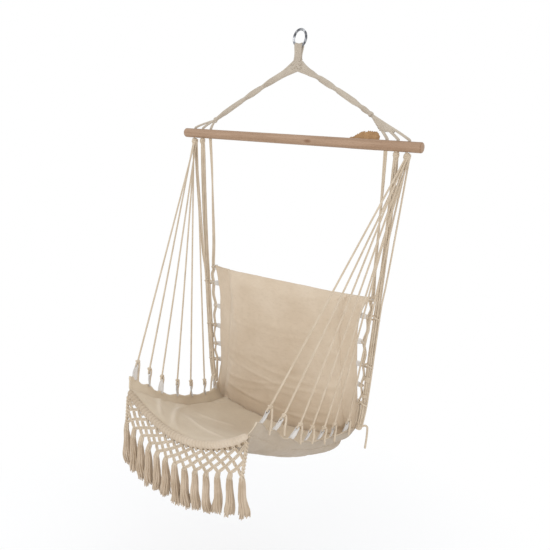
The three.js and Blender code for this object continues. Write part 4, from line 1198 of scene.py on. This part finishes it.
def side_band(kind, name, side, surface, steps, ruffle, fold, tapes):
    """Ruffled canvas band with a folded edge, and its tapes. The fold has its fullness, place and width."""
    scale, seed, start = ruffle
    fullness, place, width = fold
    along, across = grid(*steps)
    middle = surface(along, across)
    normal = normals_on(surface, along, across)
    wave = BAND_RUFFLE * rolling(middle, scale, seed + side) * (start + across)
    half = BAND_THICKNESS / 2 * (1 + fullness * hump(across, place, width))
    shape = Shape()
    shape.sheet(*[on_side(middle + normal * rise[..., None], side) for rise in (wave + half, wave - half)])
    node = f"{kind}_side_band_{name}"
    band = piece_from(shape, f"{kind}_edge_{name}", kind, "sling", "canvas", node, shaded_faces=True)
    sewn = piece_from(tapes, f"{kind}_tapes_{name}", "tape", "sling", "band_cloth", node)
    cut_size(surface, along, across)


def seat_band(name, side):
    """The seat's band, scalloped between its tapes."""

    def surface(along, across):
        flat = seat_point(along, mix(read_table(SEAT_PAD_EDGE, along) - 0.03, 1, across))
        place = np.interp(along, FAN_PLACES, np.arange(len(FAN_PLACES)))
        sag = np.sin(math.pi * place) ** 2 * np.clip(across, 0, 1) ** 3
        return flat - stack(0, 0, np.interp(along, *BAND_SCALLOPS) * sag)

    tapes = Shape()
    for index, turn in enumerate(FAN_TURNS[name]):
        place = fan_place(index)
        beside = np.cross(place["rise"], place["tangent"])
        tape_loop(tapes, place, place["tangent"] * math.cos(turn) + beside * math.sin(turn), side, 8 * MM)
    side_band("seat", name, side, surface, (130, 20), (38, 2.0, 0.3), (1.0, 0.93, 0.07), tapes)


def back_band(name, side):
    """The back's band, straight between its tapes."""

    def surface(along, across):
        inner = mix(SEAT_PAD_REAR, BACK_PAD_TOP, along)
        return back_point(along, mix(inner - 0.02, 1, across))

    tapes = Shape()
    for index in range(len(BACK_LOOPS)):
        place = back_loop_place(index)
        tape_loop(tapes, place, place["tangent"], side, 5 * MM)
    side_band("back", name, side, surface, (100, 22), (30, 5.0, 0.4), (1.2, 0.94, 0.05), tapes)


def pad_form(place, power):
    """Share of a pad's full height at a place between its seams at 0 and 1: level, with rounded edges."""
    return np.sqrt(np.maximum(0, 1 - np.abs(2 * place - 1) ** power))


def swell(pad, cap):
    """Blows the pad up as cloth between its pinned seams, no point by more than the cap, and smooths it."""
    start = np.array([vertex.co for vertex in pad.data.vertices])
    side = np.arange((PAD_ROWS + 1) ** 2).reshape(PAD_ROWS + 1, PAD_ROWS + 1)
    seams = np.concatenate([side[0], side[-1], side[:, 0], side[:, -1]])
    pinned = pad.vertex_groups.new(name="seams")
    pinned.add([int(corner) for corner in np.concatenate([seams, seams + side.size])], 1.0, "REPLACE")
    cloth = pad.modifiers.new("swelling", "CLOTH").settings
    for name, value in CLOTH_SETTINGS.items():
        setattr(cloth, name, value)
    cloth.effector_weights.gravity = 0
    for step in range(1, CLOTH_STEPS + 1):
        bpy.context.scene.frame_set(step)
    apply_modifiers(pad)
    bpy.context.scene.frame_set(1)
    moved = np.array([vertex.co for vertex in pad.data.vertices]) - start
    length = np.linalg.norm(moved, axis=1, keepdims=True)
    moved = moved * np.minimum(1, cap / np.maximum(length, 1e-9))
    pad.data.vertices.foreach_set("co", (start + moved).ravel())
    pad.vertex_groups.clear()
    finer = pad.modifiers.new("finer", "SUBSURF")
    finer.levels = 1
    finer.render_levels = 1
    apply_modifiers(pad)


def folds(u, v, lines):
    """Height of long soft ridges over the places u and v of a surface."""
    rise = np.zeros(len(u))
    for middle_u, middle_v, turn, height, length, width in lines:
        along, beside = turned(u - middle_u, v - middle_v, -turn)
        bend = 0.15 * along ** 2 / length
        rise += height * np.exp(-((beside - bend) / width) ** 2 - (along / length) ** 4)
    return rise


def small_folds(seed, count, ranges):
    """Folds with values drawn from the ranges, in their order."""
    chance = random.Random(seed)
    return [[mix(least, greatest, chance.random() ** power) for least, greatest, power in ranges]
            for _ in range(count)]


def crumple(pad, axis, lines):
    """Moves each point of the pad along its normal by soft noise, and by folds over X and another axis."""
    mesh = pad.data
    points = np.array([vertex.co for vertex in mesh.vertices])
    normals = np.array([vertex.normal for vertex in mesh.vertices])
    local = points + vec(0, 0, HANG_HEIGHT)
    rise = BROAD_ROLL * rolling(local, 14, 1.0) + FINE_ROLL * rolling(local, 42, 4.0)
    rise += folds(local[:, 0], local[:, axis], lines)
    mesh.vertices.foreach_set("co", (points + normals * rise[:, None]).ravel())
    mesh.update()


def cushion(kind, surface, outward, depths, rim, powers, cap):
    """Filled pad, swollen between its seams. The depths are tables for its outward side and the other."""

    def reach(place):
        return np.sin((place - 0.5) * math.pi)

    def skin(run, place):
        return surface(run, reach(place))

    along, across = grid(PAD_ROWS, PAD_ROWS)
    middle = skin(along, across)
    normal = normals_on(skin, along, across)
    normal = normal * np.sign(normal[PAD_ROWS // 2, PAD_ROWS // 2] @ vec(*outward))
    form = pad_form((reach(across) + 1) / 2, powers[0]) * pad_form(np.maximum(along, 0.5), powers[1])
    outer, inner = [normal * mix(rim, read_table(rows, along), form)[..., None] for rows in depths]
    shape = Shape()
    shape.sheet(middle + outer, middle - inner)
    pad = piece_from(shape, kind + "_cushion", kind, "sling", "canvas", kind + "_pad", shaded_faces=True)
    swell(pad, cap)
    return pad


def seat_pad():
    """The seat's cushion, with slanting creases that a sitter left."""

    def surface(along, reach):
        at = reach * SEAT_PAD_FRONT
        slant = np.linalg.norm(seat_point(0, at) - seat_point(SLANT_REACH, at), axis=-1) / SLANT_REACH
        depth = mix((hem_radius(at) + SEAT_SEAM_GAP) / slant, SEAT_PAD_END, along)
        return seat_point(depth, reach * read_table(SEAT_PAD_EDGE, depth))

    pad = cushion("seat", surface, (0, 0, -1), (SEAT_UNDER, SEAT_OVER), SEAT_RIM, (44, 30), SEAT_SWELL)
    crumple(pad, 1, SEAT_FOLDS + small_folds(21, 12, SEAT_CREASES))


def back_pad():
    """The back's cushion, with level creases, most of them low."""

    def surface(along, reach):
        height = mix(0.01, 1, along)
        return back_point(height, reach * mix(SEAT_PAD_REAR, BACK_PAD_TOP, height))

    depths = (BACK_HALF_DEPTH, BACK_HALF_DEPTH)
    pad = cushion("back", surface, (0, 1, 0), depths, BACK_RIM, (40, 16), BACK_SWELL)
    crumple(pad, 2, small_folds(9, 34, BACK_CREASES))


def front_hem():
    """Rolled edge of the seat, drawn in by a cord whipped all along it on the slant."""
    across = np.linspace(-HEM_END, HEM_END, 560)
    path = hem_point(across)
    share = run_of(path) / run_of(path)[-1]
    _, side, up = frames_of(path)
    turn = circle(24)
    size = hem_radius(across) * np.sqrt(np.maximum(0.06, 1 - np.abs(across / HEM_END) ** 60))
    phase = ROUND * HEM_WRAPS * share[:, None] + HEM_SLANT * np.sin(turn - HEM_SLANT_TURN)
    fullness = HEM_WAIST + 0.32 * np.sqrt(np.abs(np.cos(phase / 2))) + 0.02 * np.cos(0.37 * phase)
    fat = size[:, None] * fullness
    shape = Shape()
    shape.rings(around(path, side, up, fat, turn))
    piece_from(shape, "rolled_hem", "hem", "sling", "canvas", "front_hem")
    angle = np.linspace(0, ROUND * HEM_WRAPS, HEM_WRAPS * 24)
    place = (angle + math.pi - HEM_SLANT * np.sin(angle - HEM_SLANT_TURN)) / (ROUND * HEM_WRAPS)
    place = np.clip(place, 0, 1)
    path, side, up = [read_path(place, share, field) for field in (path, side, up)]
    reach = np.interp(place, share, size) * HEM_WAIST - WHIP_SINK
    whip = around(path, side, up, reach, angle)
    cord = Shape()
    cord.tube(whip[6:-18], WHIP_RADIUS, 8, groove=0.05)
    # The whipping takes the darker paint of painted shade.
    piece_from(cord, "hem_whipping", "fold", "sling", "canvas", "front_hem")


# Fringe

def under_hem(across, beyond):
    """Point on the hem's side that the net hangs from, as far beyond the hem's skin as asked."""
    run = hem_point(np.minimum(across + 0.02, 1)) - hem_point(np.maximum(across - 0.02, -1))
    outward = unit(stack(run[..., 2], 0, -run[..., 0]))
    return hem_point(across) + outward * np.asarray(hem_radius(across) + beyond)[..., None]


def tassel_place(column):
    across = mix(-NET_WIDTH_SHARE, NET_WIDTH_SHARE, column / NET_COLUMNS)
    return vec(across * TIP_HALF_WIDTH, -mix(NET_MIDDLE_REACH, NET_SIDE_REACH, across ** 2),
               -mix(NET_MIDDLE_DROP, NET_SIDE_DROP, across ** 2))


def net_across(column):
    return mix(-NET_TOP_SHARE, NET_TOP_SHARE, column / NET_COLUMNS)


def net_point(column, row):
    """Knot of the net: rows run from the hem to just above the tassels."""
    top = under_hem(net_across(column), NET_TOP_DROP)
    bottom = tassel_place(column)
    lift = np.interp(column / NET_COLUMNS, *NET_LIFTS)
    return mix(top, mix(bottom, top, lift / np.linalg.norm(bottom - top)), row / NET_ROWS)


def packed(strand, count):
    """Where a strand lies in a round bunch of them, as shares of the bunch's radius."""
    angle = strand * GOLDEN_ANGLE
    return vec(math.cos(angle), math.sin(angle), 0) * math.sqrt((strand + 0.5) / count)


def net_knot(shape, column, row, chance):
    """A knot of the net, and the doubled cords that go down from it to both sides."""
    here = net_point(column, row) + mm(chance.uniform(-1.5, 1.5), 0, chance.uniform(-1.5, 1.5))
    lift = mm(0, 1.5 * (-1) ** (column + row), 0)
    knot = trefoil(here, NET_KNOT_RADIUS, NET_CORD_RADIUS, chance.uniform(0, 6))
    shape.cord(here + (knot - here) * vec(1, 0.7, 1), NET_CORD_RADIUS * 0.9, 7)
    for across in (-1, 1):
        if row < NET_ROWS and 0 <= column + across <= NET_COLUMNS:
            there = net_point(column + across, row + 1)
            for turn in (-1, 1):
                beside = unit(np.cross(there - here, vec(0, 1, 0))) * NET_CORD_RADIUS * turn
                sag = mm(turn * 0.6, turn * across * 0.8, -1)
                path = [here + lift + beside * 0.7, mix(here, there, 0.5) + sag + beside * 0.9,
                        there - lift + beside * 0.7]
                shape.cord(path, NET_CORD_RADIUS, 7, 3 * MM, pitch=NET_LAY_PITCH, groove=0.04)


def net_loop(shape, column):
    """A loop of cord over the header fold, that the net hangs from."""
    across = net_across(column)
    low = net_point(column, 0.15)
    high = under_hem(across, -5 * MM) - mm(0, 5, 0)
    middle = mix(low, high, 0.5)
    beside = unit(hem_point(across + 0.01) - hem_point(across - 0.01)) * (2.6 if column % 2 else 3.4) * MM
    bight = [low - beside * 0.6, middle - beside, high, middle + beside, low + beside * 0.6]
    shape.cord(bight, HEM_LOOP_RADIUS, 7)


def net_side(shape, column):
    """Two cords wound together down an edge of the net."""
    route = [net_point(column, 0), net_point(column, 2), net_point(column, NET_ROWS), tassel_place(column)]
    for phase in (0, math.pi):
        path = wound(smooth_path(route, 2 * MM), 3 * MM, 3 * MM, 5, phase)
        shape.tube(path, SIDE_CORD_RADIUS, 8, groove=0.05)


def net_stem(shape, column, chance):
    """The cords that meet above a tassel, gathered side by side down to the tassel's top."""
    high = net_point(column, NET_ROWS)
    low = tassel_place(column) - vec(0, 0, STEM_END)
    for strand in range(STEM_STRANDS):
        out = packed(strand, STEM_STRANDS)
        bow = mm(chance.uniform(-1, 1), 0, 0)
        path = [high + out * NET_KNOT_RADIUS, mix(high, low, 0.35) + out * 6.4 * MM + bow,
                low + out * 0.58 * TASSEL_RADIUS]
        shape.cord(path, STEM_RADIUS, 7, 3 * MM)


def fringe_net():
    """Doubled cords that cross on the slant, knotted where they meet and hung from loops along a fold, with a
    dark strip behind the loops as painted shade.
    """
    shape = Shape()
    chance = random.Random(5)
    for row in range(NET_ROWS + 1):
        for column in range((row + NET_ROWS) % 2, NET_COLUMNS + 1, 2):
            net_knot(shape, column, row, chance)
    for column in range(NET_COLUMNS + 1):
        net_loop(shape, column)
    for column in (0, NET_COLUMNS):
        net_side(shape, column)
    for column in range(0, NET_COLUMNS + 1, 2):
        net_stem(shape, column, chance)
    cord_piece(shape, "knotted_net", "fringe_net")
    # Painted shade: a strip of dark cloth behind the loops, so the gaps between them look deep.
    across = np.linspace(-NET_TOP_SHARE, NET_TOP_SHARE, 160)[:, None] * np.ones(5)
    fold = under_hem(across, np.linspace(-5 * MM, 7 * MM, 5)) + mm(0, 2.5, 0)
    shade_strip = Shape()
    shade_strip.sheet(fold, fold + mm(0, 1.5, 0))
    piece_from(shade_strip, "hem_fold_shade", "fold", "sling", "canvas", "front_hem")


def tassel(index):
    """Thick strands that hang from the net's knot and spread in wavy clumps."""
    chance = random.Random(100 + index)
    knot = tassel_place(2 * index)
    down = unit(vec(0, TASSEL_LEAN, -1))
    deep = np.cross(down, vec(1, 0, 0))
    waves = [chance.uniform(0, 6) for _ in range(3)]
    spread = chance.uniform(0.85, 1.25)
    lean = chance.uniform(-4, 6) * MM
    clumps = [(chance.uniform(0, 6), chance.uniform(1.5, 4.0) * MM, chance.uniform(0.9, 1.0))
              for _ in range(TASSEL_CLUMPS)]
    share, wide = np.array(TASSEL_WIDTHS).T
    out = wide * (1 + (spread - 1) * share) * TASSEL_RADIUS
    shape = Shape()
    for strand in range(TASSEL_STRANDS):
        own = chance.uniform(-1, 1)
        wave, pull, reach = clumps[int(strand * GOLDEN_ANGLE / ROUND % 1 * TASSEL_CLUMPS)]
        length = TASSEL_LENGTH * reach * (1 - 0.05 * chance.random())
        swing = STRAND_SWAY * np.sin(6 * share + waves[0] + 0.3 * own)
        sway = (swing + pull * np.sin(7 * share + wave)) * share
        lurch = STRAND_LURCH * np.sin(8 * share + waves[1] + 0.4 * own) * share
        x, y, _ = packed(strand, TASSEL_STRANDS)
        middle = knot + down * (share * length)[:, None]
        sideways = out * x + sway + lean * share ** 2
        path = smooth_path(off_path(middle, vec(1, 0, 0), sideways, deep, out * y + lurch), 6 * MM)
        shape.tube(path, np.interp(np.linspace(0, 1, len(path)), *STRAND_RADII), 7)
    node = f"tassel_{index + 1}"
    piece_from(shape, "yarn_" + node, "tassel", node, "cord", node)


# Stage

def add_camera():
    """The photograph's camera, at its solved place."""
    level = math.cos(CAMERA_ELEVATION)
    back = Vector((math.sin(CAMERA_AZIMUTH) * level, -math.cos(CAMERA_AZIMUTH) * level,
                   math.sin(CAMERA_ELEVATION)))
    right = (-back).cross(Vector((0, 0, 1))).normalized()
    up = right.cross(-back)
    turned_right = right * math.cos(CAMERA_ROLL) + up * math.sin(CAMERA_ROLL)
    turned_up = up * math.cos(CAMERA_ROLL) - right * math.sin(CAMERA_ROLL)
    data = bpy.data.cameras.new("camera")
    data.lens = CAMERA_LENS
    data.clip_end = CAMERA_SIGHT
    camera = bpy.data.objects.new("camera", data)
    matrix = Matrix((turned_right, turned_up, back)).transposed().to_4x4()
    matrix.translation = Vector(in_row_frame(CAMERA_PLACE))
    camera.matrix_world = matrix
    bpy.context.scene.collection.objects.link(camera)
    bpy.context.scene.camera = camera


def add_floor():
    """Pale floor that takes the chair's shadow and fades to white round it."""
    z = -HANG_HEIGHT - FLOOR_DROP
    corners = [(x * FLOOR_HALF, y * FLOOR_HALF, z) for x, y in ((-1, -1), (1, -1), (1, 1), (-1, 1))]
    mesh = bpy.data.meshes.new("floor")
    mesh.from_pydata(corners, [], [(0, 1, 2, 3)])
    floor = bpy.data.objects.new("floor", mesh)
    bpy.context.scene.collection.objects.link(floor)
    paint = Paint("pale_floor", 0.9)
    paint.shader.inputs["Base Color"].default_value = (0.9, 0.9, 0.9, 1)
    reach = paint.add("ShaderNodeVectorMath", {0: paint.place}, operation="LENGTH").outputs["Value"]
    far = paint.add("ShaderNodeMapRange", {"Value": reach, "From Min": -z, "From Max": FLOOR_FADE - z})
    paleness = paint.math("MULTIPLY_ADD", far.outputs[0], 1 - FLOOR_PALENESS, FLOOR_PALENESS)
    white = paint.add("ShaderNodeEmission", {"Color": (1, 1, 1, 1), "Strength": 1.0}).outputs[0]
    share = paint.math("MULTIPLY", paleness, paint.seen())
    paint.show(share, paint.shader.outputs[0], white, "Material Output")
    mesh.materials.append(paint.material)


def add_lamp(name, place, size, power):
    data = bpy.data.lights.new(name, "AREA")
    data.size = size
    data.energy = power
    lamp = bpy.data.objects.new(name, data)
    lamp.location = place
    lamp.rotation_euler = (Vector(place) - Vector(LAMP_AIM)).to_track_quat("Z", "Y").to_euler()
    bpy.context.scene.collection.objects.link(lamp)


def add_light():
    """A pale sky that is white where the camera sees it, and three lamps."""
    world = bpy.data.worlds.new("studio")
    bpy.context.scene.world = world
    world.use_nodes = True
    nodes = Nodes(world.node_tree)
    sky = nodes.tree.nodes["Background"]
    sky.inputs["Color"].default_value = SKY_COLOUR
    sky.inputs["Strength"].default_value = 1.0
    white = nodes.add("ShaderNodeBackground", {"Color": (1, 1, 1, 1)}).outputs[0]
    nodes.show(nodes.seen(), sky.outputs[0], white, "World Output")
    for name, (place, size, power) in LAMPS.items():
        add_lamp(name, place, size, power)


add_camera()
for side_name, side_sign in SIDES.items():
    for fan_index in range(len(FAN_PLACES)):
        fan_tail(fan_index, side_name, side_sign)
    corner_tail(side_name, side_sign)
hanging_ring()
top_loop()
gathering_knot()
bridle_leg("right", 1, RIGHT_SPLIT, True)
bridle_leg("left", -1, LEFT_SPLIT, False)
spreader_bar()
bar_tab()
for side_name, side_sign in SIDES.items():
    outer_knot(side_name, side_sign)
    for fan_index in range(len(FAN_PLACES)):
        fan_cord(fan_index, side_name, side_sign)
    outer_cord(side_name, side_sign)
    rear_bundle(side_name, side_sign)
    lacing_cord(side_name, side_sign)
    corner_knot(side_name, side_sign)
    seat_band(side_name, side_sign)
    back_band(side_name, side_sign)
seat_pad()
back_pad()
front_hem()
fringe_net()
for tassel_index in range(NET_COLUMNS // 2 + 1):
    tassel(tassel_index)
add_floor()
add_light()
bpy.context.scene.view_settings.view_transform = "Standard"
